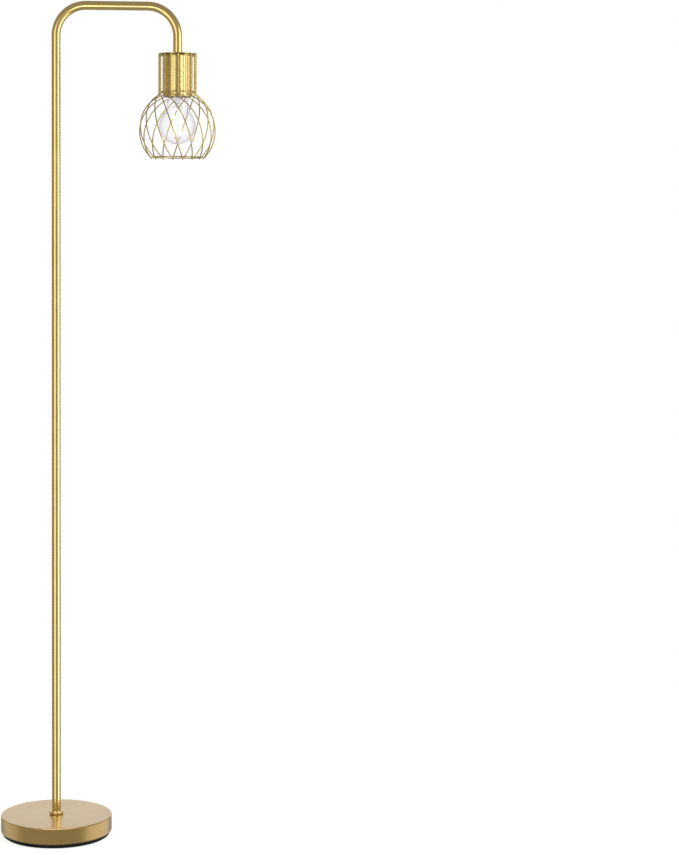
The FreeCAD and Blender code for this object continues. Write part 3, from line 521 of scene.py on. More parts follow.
@cache
def settled_dust() -> bpy.types.NodeTree:
    """A trace of dust on faces that look up, thicker in patches.

    Returns:
        The node group.
    """
    level, patchy = (0.55, 1.0), (0.4, 0.75)
    board, given = open_group("settled_dust", {"Amount": 0.1, "Scale": 60.0}, {"Mask": "NodeSocketFloat"})
    rise = board.add("SeparateXYZ", {0: board.add("NewGeometry").outputs["Normal"]}).outputs["Z"]
    place = board.add("TexCoord").outputs["Object"]
    patches = board.add("TexNoise", {"Vector": place, "Scale": given.outputs["Scale"], "Detail": 6.0}).outputs["Fac"]
    cover = board.sum("MULTIPLY", board.span(rise, *level), board.span(patches, *patchy))
    board.add("NodeGroupOutput", {"Mask": board.sum("MULTIPLY", cover, given.outputs["Amount"])})
    return board.tree


@cache
def drawn_lines() -> bpy.types.NodeTree:
    """Fine lines left by drawing or turning: noise pulled long across the stretched axes.

    Returns:
        The node group.
    """
    board, given = open_group(
        "drawn_lines",
        {"Stretch": (1.0, 1.0, 0.02), "Scale": 900.0},
        {"Lines": "NodeSocketFloat"},
    )
    pulled = board.vector("MULTIPLY", board.add("TexCoord").outputs["Object"], given.outputs["Stretch"])
    lines = board.add("TexNoise", {"Vector": pulled, "Scale": given.outputs["Scale"], "Detail": 3.0}).outputs["Fac"]
    board.add("NodeGroupOutput", {"Lines": board.span(lines, *FINE_SPAN)})
    return board.tree


@cache
def pitting() -> bpy.types.NodeTree:
    """Small round pits, as in foam skin or a sand casting.

    Returns:
        The node group.
    """
    board, given = open_group(
        "pitting",
        {"Scale": 900.0, "Size": 0.35},
        {"Height": "NodeSocketFloat", "Pits": "NodeSocketFloat"},
    )
    place = board.add("TexCoord").outputs["Object"]
    away = board.add("TexVoronoi", {"Vector": place, "Scale": given.outputs["Scale"]}).outputs["Distance"]
    height = board.span(away, 0.0, given.outputs["Size"])
    board.add("NodeGroupOutput", {"Height": height, "Pits": board.sum("SUBTRACT", 1.0, height)})
    return board.tree


# Finishes

DUST_GREY: Colour = (0.62, 0.58, 0.52)


@dataclass(frozen=True)
class Finish:
    """A record slot and the look that goes on it."""

    slot: str

    @cache
    def material(self) -> bpy.types.Material:
        """Makes the finish's one material, at its first use.

        Returns:
            The material.
        """
        made = bpy.data.materials.new(f"{self.slot}_look")
        made.use_nodes = True
        self.wire(Board(made.node_tree))
        return made

    def wire(self, board: Board) -> None:
        """Wires the material's nodes."""
        raise NotImplementedError


@dataclass(frozen=True)
class GoldPaint(Finish):
    """Metallic gold paint under clear lacquer: flakes with painted glints on a few of them, fine relief, faint
    mottling and rubbed edges.
    """

    colour: Colour = (0.82, 0.575, 0.165)
    deep: Colour = (0.77, 0.53, 0.145)
    # bright: the colour of the painted glints, and of the rubbed edges.
    bright: Colour = (0.96, 0.82, 0.48)
    roughness: float = 0.24
    roughness_spread: float = 0.04
    flake_size: float = 0.0004
    flake_tilt: float = 0.045
    # How strongly the painted glint brightens the flakes' colour.
    glint: float = 0.2
    grain_size: float = 0.0007
    grain_depth: float = 0.000004
    mottle_scale: float = 24.0
    coat: float = 1.0
    coat_roughness: float = 0.10
    coat_index: float = 1.7
    wear: float = 0.3
    wear_reach: float = 0.1
    wear_scale: float = 160.0
    dust: float = 0.04
    dust_scale: float = 70.0

    def wire(self, board: Board) -> None:
        """Wires the material's nodes.

        Args:
            board: the material's board
        """
        flakes = board.place(flake_layer(), Scale=1 / self.flake_size, Tilt=self.flake_tilt).outputs
        grain = board.place(paint_grain(), Scale=1 / self.grain_size, Patch=self.mottle_scale).outputs
        wear = board.place(edge_wear(), Reach=self.wear_reach, Scale=self.wear_scale).outputs["Mask"]
        dust = board.place(settled_dust(), Amount=self.dust, Scale=self.dust_scale).outputs["Mask"]
        shade = board.blend(grain["Mottle"], self.colour, self.deep)
        # Painted glint: a few flake cells are brightened towards the bright colour.
        shade = board.blend(board.sum("MULTIPLY", flakes["Glint"], self.glint), shade, self.bright)
        shade = board.blend(board.sum("MULTIPLY", wear, self.wear), shade, self.bright)
        shade = board.blend(dust, shade, DUST_GREY)
        low, high = self.roughness - self.roughness_spread, self.roughness + self.roughness_spread
        rough = board.sum("ADD", board.span(grain["Height"], *FINE_SPAN, low, high), dust)
        shader = board.add(
            "BsdfPrincipled",
            {
                "Base Color": shade,
                "Roughness": rough,
                "Metallic": 1.0,
                "Coat Weight": self.coat,
                "Coat Roughness": self.coat_roughness,
                "Coat IOR": self.coat_index,
                "Normal": board.bump(grain["Height"], self.grain_depth, flakes["Normal"]),
            },
        )
        board.end(shader.outputs[0])


@dataclass(frozen=True)
class Moulded(Finish):
    """Moulded plastic or rubber: fine spark-eroded grain, faint mottling and greyed edges."""

    colour: Colour = (0.012, 0.012, 0.013)
    worn: Colour = (0.06, 0.06, 0.062)
    roughness: float = 0.5
    roughness_drift: tuple[float, float] = (-0.08, 0.1)
    grain_size: float = 0.0005
    grain_depth: float = 0.00003
    specular: float = 0.5
    mottle: float = 1.5
    """How many times paler the mottled patches are."""
    mottle_scale: float = 40.0
    wear: float = 0.5
    wear_reach: float = 0.1
    wear_scale: float = 220.0

    def wire(self, board: Board) -> None:
        """Wires the material's nodes.

        Args:
            board: the material's board
        """
        grain = board.place(paint_grain(), Scale=1 / self.grain_size, Patch=self.mottle_scale).outputs
        wear = board.place(edge_wear(), Reach=self.wear_reach, Scale=self.wear_scale).outputs["Mask"]
        faded = tuple(c * self.mottle for c in self.colour)
        shade = board.blend(grain["Mottle"], self.colour, faded)
        shade = board.blend(board.sum("MULTIPLY", wear, self.wear), shade, self.worn)
        low, high = (self.roughness + drift for drift in self.roughness_drift)
        shader = board.add(
            "BsdfPrincipled",
            {
                "Base Color": shade,
                "Roughness": board.span(grain["Height"], *FINE_SPAN, low, high),
                "Specular IOR Level": self.specular,
                "Normal": board.bump(grain["Height"], self.grain_depth),
            },
        )
        board.end(shader.outputs[0])


@dataclass(frozen=True)
class Pitted(Finish):
    """A pitted surface: closed-cell foam, or iron as cast, with painted shade in its pits."""

    colour: Colour = (0.010, 0.010, 0.011)
    # Painted shade: the darker colour put inside the pits.
    pit_shade: Colour = (0.003, 0.003, 0.003)
    roughness: float = 0.85
    roughness_drift: tuple[float, float] = (-0.1, 0.08)
    metallic: float = 0.0
    pit_size: float = 0.0012
    pit_share: float = 0.42
    pit_depth: float = 0.00015
    specular: float = 0.5
    grain_per_pit: float = 0.6
    mottle: float = 1.8
    """How many times paler the mottled patches are."""
    mottle_share: float = 0.4
    mottle_scale: float = 50.0

    def wire(self, board: Board) -> None:
        """Wires the material's nodes.

        Args:
            board: the material's board
        """
        pits = board.place(pitting(), Scale=1 / self.pit_size, Size=self.pit_share).outputs
        grain = board.place(paint_grain(), Scale=self.grain_per_pit / self.pit_size, Patch=self.mottle_scale).outputs
        # Painted shade in the pits: they take the darker pit colour.
        shade = board.blend(pits["Pits"], self.colour, self.pit_shade)
        faded = tuple(c * self.mottle for c in self.colour)
        shade = board.blend(board.sum("MULTIPLY", grain["Mottle"], self.mottle_share), shade, faded)
        low, high = (self.roughness + drift for drift in self.roughness_drift)
        shader = board.add(
            "BsdfPrincipled",
            {
                "Base Color": shade,
                "Roughness": board.span(grain["Height"], *FINE_SPAN, low, high),
                "Metallic": self.metallic,
                "Specular IOR Level": self.specular,
                "Normal": board.bump(pits["Height"], self.pit_depth),
            },
        )
        board.end(shader.outputs[0])


@dataclass(frozen=True)
class BareMetal(Finish):
    """Bare or plated metal: drawn or turned lines, faint staining and bright edges."""

    colour: Colour = (0.62, 0.61, 0.58)
    stain: Colour = (0.45, 0.43, 0.40)
    bright: Colour = (0.85, 0.84, 0.82)
    roughness: float = 0.28
    roughness_drift: tuple[float, float] = (-0.06, 0.1)
    stretch: tuple[float, float, float] = (0.03, 0.03, 1.0)
    line_size: float = 0.0003
    line_depth: float = 0.000006
    stain_scale: float = 90.0
    wear_reach: float = 0.08
    wear_scale: float = 300.0

    def wire(self, board: Board) -> None:
        """Wires the material's nodes.

        Args:
            board: the material's board
        """
        lines = board.place(drawn_lines(), Stretch=self.stretch, Scale=1 / self.line_size).outputs["Lines"]
        stains = board.place(paint_grain(), Patch=self.stain_scale).outputs["Mottle"]
        wear = board.place(edge_wear(), Reach=self.wear_reach, Scale=self.wear_scale).outputs["Mask"]
        low, high = (self.roughness + drift for drift in self.roughness_drift)
        shader = board.add(
            "BsdfPrincipled",
            {
                "Base Color": board.blend(wear, board.blend(stains, self.colour, self.stain), self.bright),
                "Roughness": board.span(lines, 0.0, 1.0, low, high),
                "Metallic": 1.0,
                "Normal": board.bump(lines, self.line_depth),
            },
        )
        board.end(shader.outputs[0])


@dataclass(frozen=True)
class ClearGlass(Finish):
    """Blown glass with a faint waviness and painted shade at its edges, which lets lamplight through."""

    colour: Colour = (0.988, 0.984, 0.988)
    # rim: painted shade, a greyer colour where the glass turns away from the view, standing in for its darker edges.
    rim: Colour = (0.74, 0.72, 0.785)
    rim_shade_span: tuple[float, float] = (0.25, 0.85)
    # How far the surface turns away where the painted rim shade starts, and where it is full.
    """How far the surface turns away where the rim's colour starts, and where it is full."""
    facing_blend: float = 0.5
    shadow: Colour = (0.97, 0.97, 0.98)
    index: float = 1.46
    wave_size: float = 0.022
    wave_depth: float = 0.0001

    def wire(self, board: Board) -> None:
        """Wires the material's nodes.

        Args:
            board: the material's board
        """
        waves = board.place(paint_grain(), Scale=1 / self.wave_size).outputs["Height"]
        # Painted shade: the facing mask puts the greyer rim colour on the glass's edges.
        facing = board.add("LayerWeight", {"Blend": self.facing_blend}).outputs["Facing"]
        glass = board.add(
            "BsdfPrincipled",
            {
                "Base Color": board.blend(board.span(facing, *self.rim_shade_span), self.colour, self.rim),
                "Roughness": 0.0,
                "IOR": self.index,
                "Transmission Weight": 1.0,
                "Normal": board.bump(waves, self.wave_depth),
            },
        )
        ray = board.add("LightPath").outputs
        passes = board.sum("MAXIMUM", ray["Is Shadow Ray"], ray["Is Diffuse Ray"])
        clear = board.add("BsdfTransparent", {"Color": (*self.shadow, 1.0)})
        board.end(board.add("MixShader", {0: passes, 1: glass.outputs[0], 2: clear.outputs[0]}).outputs[0])


@dataclass(frozen=True)
class LitCoating(Finish):
    """The glowing coating of a light strip: white hot in its middle and amber at its sides and ends."""

    middle: Colour = (1.0, 0.88, 0.50)
    side: Colour = (1.0, 0.70, 0.30)
    side_span: tuple[float, float] = (0.25, 0.9)
    """How far the surface turns away where the side's colour starts, and where it is full."""
    facing_blend: float = 0.35
    strength: float = 2.4
    powder: Colour = (0.9, 0.72, 0.30)
    bare_powder: Colour = (0.95, 0.8, 0.42)
    roughness: float = 0.6
    chip_size: float = 0.0018
    chip_share: float = 0.35

    def wire(self, board: Board) -> None:
        """Wires the material's nodes.

        Args:
            board: the material's board
        """
        chips = board.place(drawn_lines(), Stretch=(0.0, 0.0, 1.0), Scale=1 / self.chip_size).outputs["Lines"]
        facing = board.add("LayerWeight", {"Blend": self.facing_blend}).outputs["Facing"]
        dimmed = board.sum("MULTIPLY", chips, self.chip_share)
        share = board.sum("MAXIMUM", board.span(facing, *self.side_span), dimmed)
        glow = board.blend(share, self.middle, self.side)
        shader = board.add(
            "BsdfPrincipled",
            {
                "Base Color": board.blend(chips, self.powder, self.bare_powder),
                "Roughness": self.roughness,
                "Emission Color": glow,
                "Emission Strength": self.strength,
            },
        )
        board.end(shader.outputs[0])


class Looks:
    """Every finish of the lamp, each with the record's slot that it goes on."""

    TUBE = GoldPaint("gold_steel")
    COVER = GoldPaint(
        "gold_steel",
        colour=(0.71, 0.45, 0.115),
        deep=(0.665, 0.415, 0.10),
        roughness=0.36,
        grain_depth=0.000012,
        flake_size=0.00045,
        flake_tilt=0.08,
        coat_roughness=0.2,
        dust=0.06,
    )
    WIRE = GoldPaint(
        "gold_wire",
        colour=(0.61, 0.465, 0.095),
        deep=(0.55, 0.415, 0.085),
        roughness=0.22,
        flake_size=0.0003,
        flake_tilt=0.03,
        grain_depth=0.000003,
        dust=0.0,
    )
    PLATE = GoldPaint(
        "gold_plate",
        colour=(0.70, 0.50, 0.13),
        deep=(0.64, 0.45, 0.11),
        roughness=0.28,
        flake_tilt=0.06,
    )
    CUP = GoldPaint(
        "textured_gold",
        colour=(0.79, 0.57, 0.20),
        deep=(0.74, 0.52, 0.17),
        roughness=0.19,
        roughness_spread=0.04,
        flake_size=0.00055,
        flake_tilt=0.06,
        glint=0.4,
        grain_size=0.0006,
        grain_depth=0.000013,
        coat=0.8,
        coat_roughness=0.13,
        dust=0.0,
    )
    FOAM = Pitted("pad_foam", colour=(0.005, 0.005, 0.0055), pit_shade=(0.002, 0.002, 0.002), specular=0.06)
    TRAY = Moulded("black_plastic", colour=(0.006, 0.006, 0.0065), worn=(0.03, 0.03, 0.031), specular=0.12)
    IRON = Pitted(
        "cast_iron",
        colour=(0.09, 0.085, 0.08),
        pit_shade=(0.04, 0.036, 0.032),
        roughness=0.62,
        metallic=0.7,
        pit_size=0.0016,
        pit_depth=0.0002,
    )
    STEEL = BareMetal("plated_steel")
    HOLDER = Moulded("holder_plastic", colour=(0.016, 0.015, 0.015), roughness=0.36, grain_depth=0.00001)
    BRASS = BareMetal("contact_brass", colour=(0.78, 0.56, 0.22), stain=(0.6, 0.4, 0.14), bright=(0.9, 0.72, 0.4))
    GLASS = ClearGlass("clear_glass")
    FOOT_GLASS = ClearGlass("stem_glass", colour=(0.96, 0.96, 0.97), wave_size=0.004, wave_depth=0.0002)
    CAP = BareMetal("cap_metal", colour=(0.70, 0.68, 0.63), stain=(0.56, 0.53, 0.47), roughness=0.24)
    INSULATOR = Moulded("black_insulator", colour=(0.008, 0.008, 0.010), roughness=0.18, grain_depth=0.000004)
    SOLDER = BareMetal(
        "solder",
        colour=(0.55, 0.55, 0.54),
        stain=(0.42, 0.41, 0.40),
        roughness=0.36,
        stretch=(1.0, 1.0, 1.0),
    )
    SUPPORT = BareMetal("support_wire", colour=(0.60, 0.57, 0.52), roughness=0.22)
    FILAMENT = LitCoating("filament_coating")
    SHEATH = Moulded("lead_sheath", colour=(0.025, 0.024, 0.023), roughness=0.42)


def add_piece(
    name: str, shape: Shape, finish: Finish, body: Body, stands_for: Sequence[str] = ()
) -> bpy.types.Object:
    """Makes a piece of the lamp and hands it to its body.

    Args:
        name: the piece's name
        shape: its mesh in the making
        finish: its finish
        body: the body that it rides on
        stands_for: CAD nodes that it replaces

    Returns:
        The piece.
    """
    made = bpy.data.objects.new(name, shape.mesh(name))
    bpy.context.scene.collection.objects.link(made)
    made.data.materials.append(finish.material())
    made.modifiers.new("even_normals", "WEIGHTED_NORMAL").keep_sharp = True
    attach(made, body.value)
    if stands_for:
        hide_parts(*stands_for)
    log.info("%s: %d faces on body %s", name, len(made.data.polygons), body.value)
    return made


def dress(frame: Frame, finish: Finish, *nodes: str) -> None:
    """Gives CAD nodes that stay in view a finish.

    Args:
        frame: the loaded frame
        finish: their finish
        nodes: the nodes' names
    """
    for name in nodes:
        for held in frame["nodes"][name].material_slots:
            held.material = finish.material()
        log.info("%s: CAD node with %s", name, finish.slot)


# The lamp's sub-assemblies


@dataclass
class Base:
    """The round weighted base: pad, tray, weight, drawn cover and cord bushing."""

    radius: float = 0.105
    top: float = 0.0385
    foot: float = 0.008
    wall: float = 0.0012
    edge_rounding: float = 0.0026
    lip: float = 0.006
    pad_radius: float = 0.098
    pad_height: float = 0.002
    pad_bulge: float = 0.0004
    pad_flat_inset: float = 0.0012
    stem_hole: float = 0.0052
    bushing_height: float = 0.017
    bushing_hole: float = 0.00455
    bushing_flange: float = 0.0065
    bushing_bore: float = 0.003
    bushing_body: float = 0.0045
    flange_depth: float = 0.0016
    flange_rounding: float = 0.0009
    bushing_tail: float = 0.006
    mouth_rounding: float = 0.0007
    tail_rounding: float = 0.0003
    crisp_rounding: float = 0.0001

    def build(self, frame: Frame) -> None:
        """Builds the seen pieces and dresses the hidden ones.

        Args:
            frame: the loaded frame
        """
        self.cover()
        self.pad()
        self.bushing()
        dress(frame, Looks.TRAY, "base_tray")
        dress(frame, Looks.IRON, "base_weight")
        dress(frame, Looks.STEEL, "tray_screws", "base_stem", "base_washer", "base_lock_washer", "base_nut")

    def cover(self) -> None:
        """The drawn shell, its edge rounded, its foot turned in, with a hole at the back for the bushing."""
        inside, ceiling = self.radius - self.wall, self.top - self.wall
        bend = self.edge_rounding - self.wall
        shape = Shape()
        outline = rounded(
            [
                (self.radius - self.lip, self.foot, 0.0),
                (self.radius, self.foot, self.edge_rounding),
                (self.radius, self.top, self.edge_rounding),
                (self.stem_hole, self.top, 0.0),
                (self.stem_hole, ceiling, 0.0),
                (inside, ceiling, bend),
                (inside, self.foot + self.wall, bend),
                (self.radius - self.lip, self.foot + self.wall, 0.0),
            ],
            steps=10,
        )
        shape.lathe(outline, Vector(), segments=256)
        self.pierce(add_piece("cover_shell", shape, Looks.COVER, Body.LAMP, ["base_cover"]))

    def pierce(self, cover: bpy.types.Object) -> None:
        """Cuts the bushing's hole through the back of the cover.

        Args:
            cover: the cover's piece
        """
        drill, reach, quarter = Shape(), 0.01, math.pi / 2
        outline = [(0.0, -reach), (self.bushing_hole, -reach), (self.bushing_hole, reach), (0.0, reach)]
        drill.lathe(outline, Vector((0, self.radius, self.bushing_height)), 48, Matrix.Rotation(quarter, 3, "X"))
        cutter = bpy.data.objects.new("drill", drill.mesh("drill"))
        bpy.context.scene.collection.objects.link(cutter)
        hole = cover.modifiers.new("hole", "BOOLEAN")
        hole.operation, hole.solver, hole.object = "DIFFERENCE", "EXACT", cutter
        cover.modifiers.move(1, 0)
        bpy.context.view_layer.update()
        even = cover.modifiers["even_normals"]
        even.show_viewport = False
        cut = bpy.data.meshes.new_from_object(cover.evaluated_get(bpy.context.evaluated_depsgraph_get()))
        even.show_viewport = True
        cover.modifiers.remove(hole)
        cover.data = cut
        bpy.data.objects.remove(cutter)

    def pad(self) -> None:
        """The foam disc, its cut edge pressed out a little by the lamp's weight."""
        bulge, edge, steps = self.pad_bulge, self.pad_height / 2, 12
        flat = self.pad_radius - self.pad_flat_inset
        outline = [(0.0, 0.0), (flat, 0.0)]
        for step in range(1, steps):
            lean = math.pi * step / steps - math.pi / 2
            outline.append((self.pad_radius - bulge + bulge * math.cos(lean), edge + edge * math.sin(lean)))
        outline += [(flat, self.pad_height), (0.0, self.pad_height)]
        shape = Shape()
        shape.lathe(outline, Vector(), segments=200, closed=False)
        add_piece("foam_pad", shape, Looks.FOAM, Body.LAMP, ["base_pad"])

    def bushing(self) -> None:
        """The flanged sleeve for a cord, with a domed flange and a flared mouth."""
        face, tail = self.flange_depth, -self.bushing_tail
        outline = rounded(
            [
                (self.bushing_bore, face, self.mouth_rounding),
                (self.bushing_flange, face, self.flange_rounding),
                (self.bushing_flange, 0.0, self.crisp_rounding),
                (self.bushing_body, 0.0, self.crisp_rounding),
                (self.bushing_body, tail, self.tail_rounding),
                (self.bushing_bore, tail, self.tail_rounding),
            ]
        )
        shape, centre = Shape(), Vector((0, self.radius, self.bushing_height))
        shape.lathe(outline, centre, segments=72, turn=Matrix.Rotation(-math.pi / 2, 3, "X"))
        add_piece("bushing_sleeve", shape, Looks.TRAY, Body.LAMP, ["cord_bushing"])


@dataclass
class Pole:
    """The collar, the two straight tubes and the arm with its two bends."""

    radius: float = 0.0085
    bore: float = 0.0075
    foot: float = 0.0415
    lower_top: float = 0.620
    upper_top: float = 1.190
    arm_height: float = 1.5665
    bend_radius: float = 0.056
    edge: float = 0.00025
    straight_end: float = 0.001
    collar_radius: float = 0.0133
    collar_foot: float = 0.0385
    collar_height: float = 0.006
    collar_rounding: float = 0.0019
    collar_bore: float = 0.0052
    collar_gap: float = 0.00005
    collar_mouth_rounding: float = 0.0004

    def build(self, frame: Frame) -> None:
        """Builds the tubes and the collar, and dresses the joints hidden in them.

        Args:
            frame: the loaded frame
        """
        self.collar()
        self.straight("pole_tube_lower", self.foot, self.lower_top, "pole_lower")
        self.straight("pole_tube_upper", self.lower_top, self.upper_top, "pole_upper")
        self.arm()
        hidden = ["foot_socket", "lower_joint_stud", "lower_joint_socket", "upper_joint_stud", "upper_joint_socket"]
        dress(frame, Looks.STEEL, *hidden, "arm_socket")
        dress(frame, Looks.SHEATH, "inner_lead")

    def straight(self, name: str, low: float, high: float, node: str) -> None:
        """A straight tube with its ends' edges broken, so that a hairline shows where two tubes meet.

        Args:
            name: the piece's name
            low: its lower end's height
            high: its upper end's height
            node: the CAD node that it replaces
        """
        outline = rounded(
            [
                (self.bore, low, 0.0),
                (self.radius, low, self.edge),
                (self.radius, high, self.edge),
                (self.bore, high, 0.0),
            ],
            steps=3,
        )
        shape = Shape()
        shape.lathe(outline, Vector(), segments=64)
        add_piece(name, shape, Looks.TUBE, Body.LAMP, [node])

    def arm(self) -> None:
        """The arm: up, round, across, round and down to the cage."""
        bend, top, reach, steps = self.bend_radius, self.arm_height, HEAD.x, 40
        rise = Vector((0, 0, top - bend))
        path = [Vector((0, 0, self.upper_top)), Vector((0, 0, self.upper_top + self.straight_end)), rise]
        path += arc_from(rise, UP, Vector((bend, 0, top)), steps)
        path.append(Vector((reach - bend, 0, top)))
        path += arc_from(path[-1], Vector((1, 0, 0)), Vector((reach, 0, top - bend)), steps)
        path += [HEAD + UP * self.straight_end, HEAD.copy()]
        shape = Shape()
        shape.tube(path, self.radius, sides=64, bore=self.bore, chamfer=self.edge)
        add_piece("arm_tube_bent", shape, Looks.TUBE, Body.LAMP, ["arm_tube"])

    def collar(self) -> None:
        """The low round collar at the pole's foot."""
        low, high = self.collar_foot, self.collar_foot + self.collar_height
        seat = self.radius + self.collar_gap
        outline = rounded(
            [
                (self.collar_bore, low, 0.0),
                (self.collar_radius, low, self.collar_rounding),
                (self.collar_radius, high, self.collar_rounding),
                (seat, high, self.collar_mouth_rounding),
                (seat, self.foot, 0.0),
                (self.collar_bore, self.foot, 0.0),
            ],
            steps=10,
        )
        shape = Shape()
        shape.lathe(outline, Vector(), segments=96)
        add_piece("collar_ring", shape, Looks.TUBE, Body.LAMP, ["foot_collar"])


@dataclass
class Cage:
    """The wire cage: its plate, sixteen bent wires, three ring rods and their welds."""

    wire_count: int = 16
    wire: float = 0.0011
    gap: float = 0.00005
    wire_edge: float = 0.0002
    plate_thickness: float = 0.0015
    plate_rounding: float = 0.0005
    sleeve: float = 0.035
    bend_drop: float = 0.0768
    bend_radius: float = 0.0032
    globe: float = 0.0699
    equator_twist: float = 57.3
    equator_drop: float = 0.1398
    mouth: float = 0.0492
    mouth_twist: float = 76.0
    mouth_drop: float = 0.1964
    mouth_setback: float = 0.0013
    top_ring_drop: float = 0.0036
    middle_ring_drop: float = 0.0718
    stem_hole: float = 0.0052
    plate_bead: tuple[float, float, float] = (0.0017, 0.0016, 0.0006)
    """A bead's half sizes: along the ring, outward and upward."""
    ring_bead: tuple[float, float, float] = (0.0016, 0.0010, 0.0016)
    mouth_bead: tuple[float, float, float] = (0.0017, 0.0011, 0.0016)
    bead_sink: float = 0.0001
    seed: int = 7

    def build(self) -> None:
        """Builds every piece of the cage."""
        route = self.route()
        self.plate()
        for number in range(self.wire_count):
            turn = Matrix.Rotation(2 * math.pi * number / self.wire_count, 3, "Z")
            shape = Shape()
            shape.tube([HEAD + turn @ spot for spot in route], self.wire, sides=16, chamfer=self.wire_edge)
            add_piece(f"wire_{number + 1:02d}", shape, Looks.WIRE, Body.LAMP, [f"cage_wire_{number + 1:02d}"])
        inside = self.sleeve - 2 * self.wire - self.gap
        self.ring("ring_top", inside, self.top_ring_drop, "cage_ring_top")
        self.ring("ring_middle", inside, self.middle_ring_drop, "cage_ring_middle")
        spot, ring_radius, ring_drop = self.mouth_place(route)
        self.ring("ring_mouth", ring_radius, ring_drop, "cage_ring_mouth")
        self.welds(inside, spot, ring_radius, ring_drop)

    def spot(self, radius: float, twist: float, drop: float) -> Vector:
        """A point by its radius, its twist from the front in degrees and its drop below the plate's top."""
        return on_circle(radius, twist - 90, -drop)

    def route(self) -> list[Vector]:
        """The front wire's centre line: down the sleeve, one tight bend, one flat arc round the globe.

        Returns:
            The line's points, from the plate to the mouth.
        """
        top = self.spot(self.sleeve, 0, self.plate_thickness + self.gap)
        corner = self.spot(self.sleeve, 0, self.bend_drop)
        equator = self.spot(self.globe, self.equator_twist, self.equator_drop)
        mouth = self.spot(self.mouth, self.mouth_twist, self.mouth_drop)
        one, two = equator - corner, mouth - corner
        axis = one.cross(two)
        middle = axis.cross(one) * two.length_squared + two.cross(axis) * one.length_squared
        middle /= 2 * axis.length_squared
        leaving = axis.cross(-middle).normalized()
        reach = self.bend_radius * math.tan((-UP).angle(leaving) / 2)
        start, end = corner + UP * reach, corner + leaving * reach
        path = [top.lerp(start, k / 12) for k in range(13)]
        path += arc_from(start, -UP, end, 10)
        return path + arc_from(end, leaving, mouth, 84)

    def mouth_place(self, route: list[Vector]) -> tuple[Vector, float, float]:
        """Where the mouth ring lies against the wires' lower ends.

        Args:
            route: the front wire's centre line

        Returns:
            The front wire's point at the ring, the ring's radius and its drop.
        """
        heading = (route[-1] - route[-2]).normalized()
        spot = route[-1] - heading * self.mouth_setback
        radial = Vector((spot.x, spot.y, 0)).normalized()
        slope = Vector((heading.dot(radial), 0, heading.z)).normalized()
        apart = 2 * self.wire + self.gap
        radius = math.hypot(spot.x, spot.y) + slope.z * apart
        return spot, radius, -(spot.z - slope.x * apart)

    def ring(self, name: str, radius: float, drop: float, node: str) -> None:
        """A ring rod.

        Args:
            name: the piece's name
            radius: radius of its centre line
            drop: its drop below the plate's top
            node: the CAD node that it replaces
        """
        steps = 192
        path = [HEAD + on_circle(radius, 360 * k / steps, -drop) for k in range(steps)]
        shape = Shape()
        shape.tube(path, self.wire, sides=16, looped=True)
        add_piece(name, shape, Looks.WIRE, Body.LAMP, [node])

    def plate(self) -> None:
        """The round plate, its edge softened by the paint."""
        rim = self.sleeve + self.wire
        outline = rounded(
            [
                (self.stem_hole, -self.plate_thickness, 0.0),
                (rim, -self.plate_thickness, self.plate_rounding),
                (rim, 0.0, self.plate_rounding),
                (self.stem_hole, 0.0, 0.0),
            ],
            steps=5,
        )
        shape = Shape()
        shape.lathe(outline, HEAD, segments=160)
        add_piece("plate_disc", shape, Looks.PLATE, Body.LAMP, ["cage_plate"])

    def welds(self, inside: float, mouth: Vector, ring_radius: float, ring_drop: float) -> None:
        """The beads that join wires, rings and plate.

        Args:
            inside: radius of the upper rings
            mouth: the front wire's point at the mouth ring
            ring_radius: the mouth ring's radius
            ring_drop: the mouth ring's drop
        """
        lumps = Random(self.seed)
        shapes = {f"welds_{place}": Shape() for place in ("plate", "top", "middle", "mouth")}
        middle = (inside + self.sleeve) / 2
        mouth_turn = math.degrees(math.atan2(mouth.y, mouth.x))
        at_mouth = (mouth + on_circle(ring_radius, mouth_turn, -ring_drop)) / 2
        for number in range(self.wire_count):
            turn = 360 * number / self.wire_count
            out, side = on_circle(1, turn - 90, 0), on_circle(1, turn, 0)
            ways = (side, out, UP)
            tip = HEAD + out * self.sleeve - UP * (self.plate_thickness + self.bead_sink)
            shapes["welds_plate"].bead(tip, [way * size for way, size in zip(ways, self.plate_bead)], lumps)
            for name, drop in (("welds_top", self.top_ring_drop), ("welds_middle", self.middle_ring_drop)):
                place = HEAD + out * middle - UP * drop
                shapes[name].bead(place, [way * size for way, size in zip(ways, self.ring_bead)], lumps)
            place = HEAD + Matrix.Rotation(math.radians(turn), 3, "Z") @ at_mouth
            ways = (on_circle(1, turn + mouth_turn + 90, 0), on_circle(1, turn + mouth_turn, 0), UP)
            shapes["welds_mouth"].bead(place, [way * size for way, size in zip(ways, self.mouth_bead)], lumps)
        for name, shape in shapes.items():
            add_piece(name, shape, Looks.WIRE, Body.LAMP)


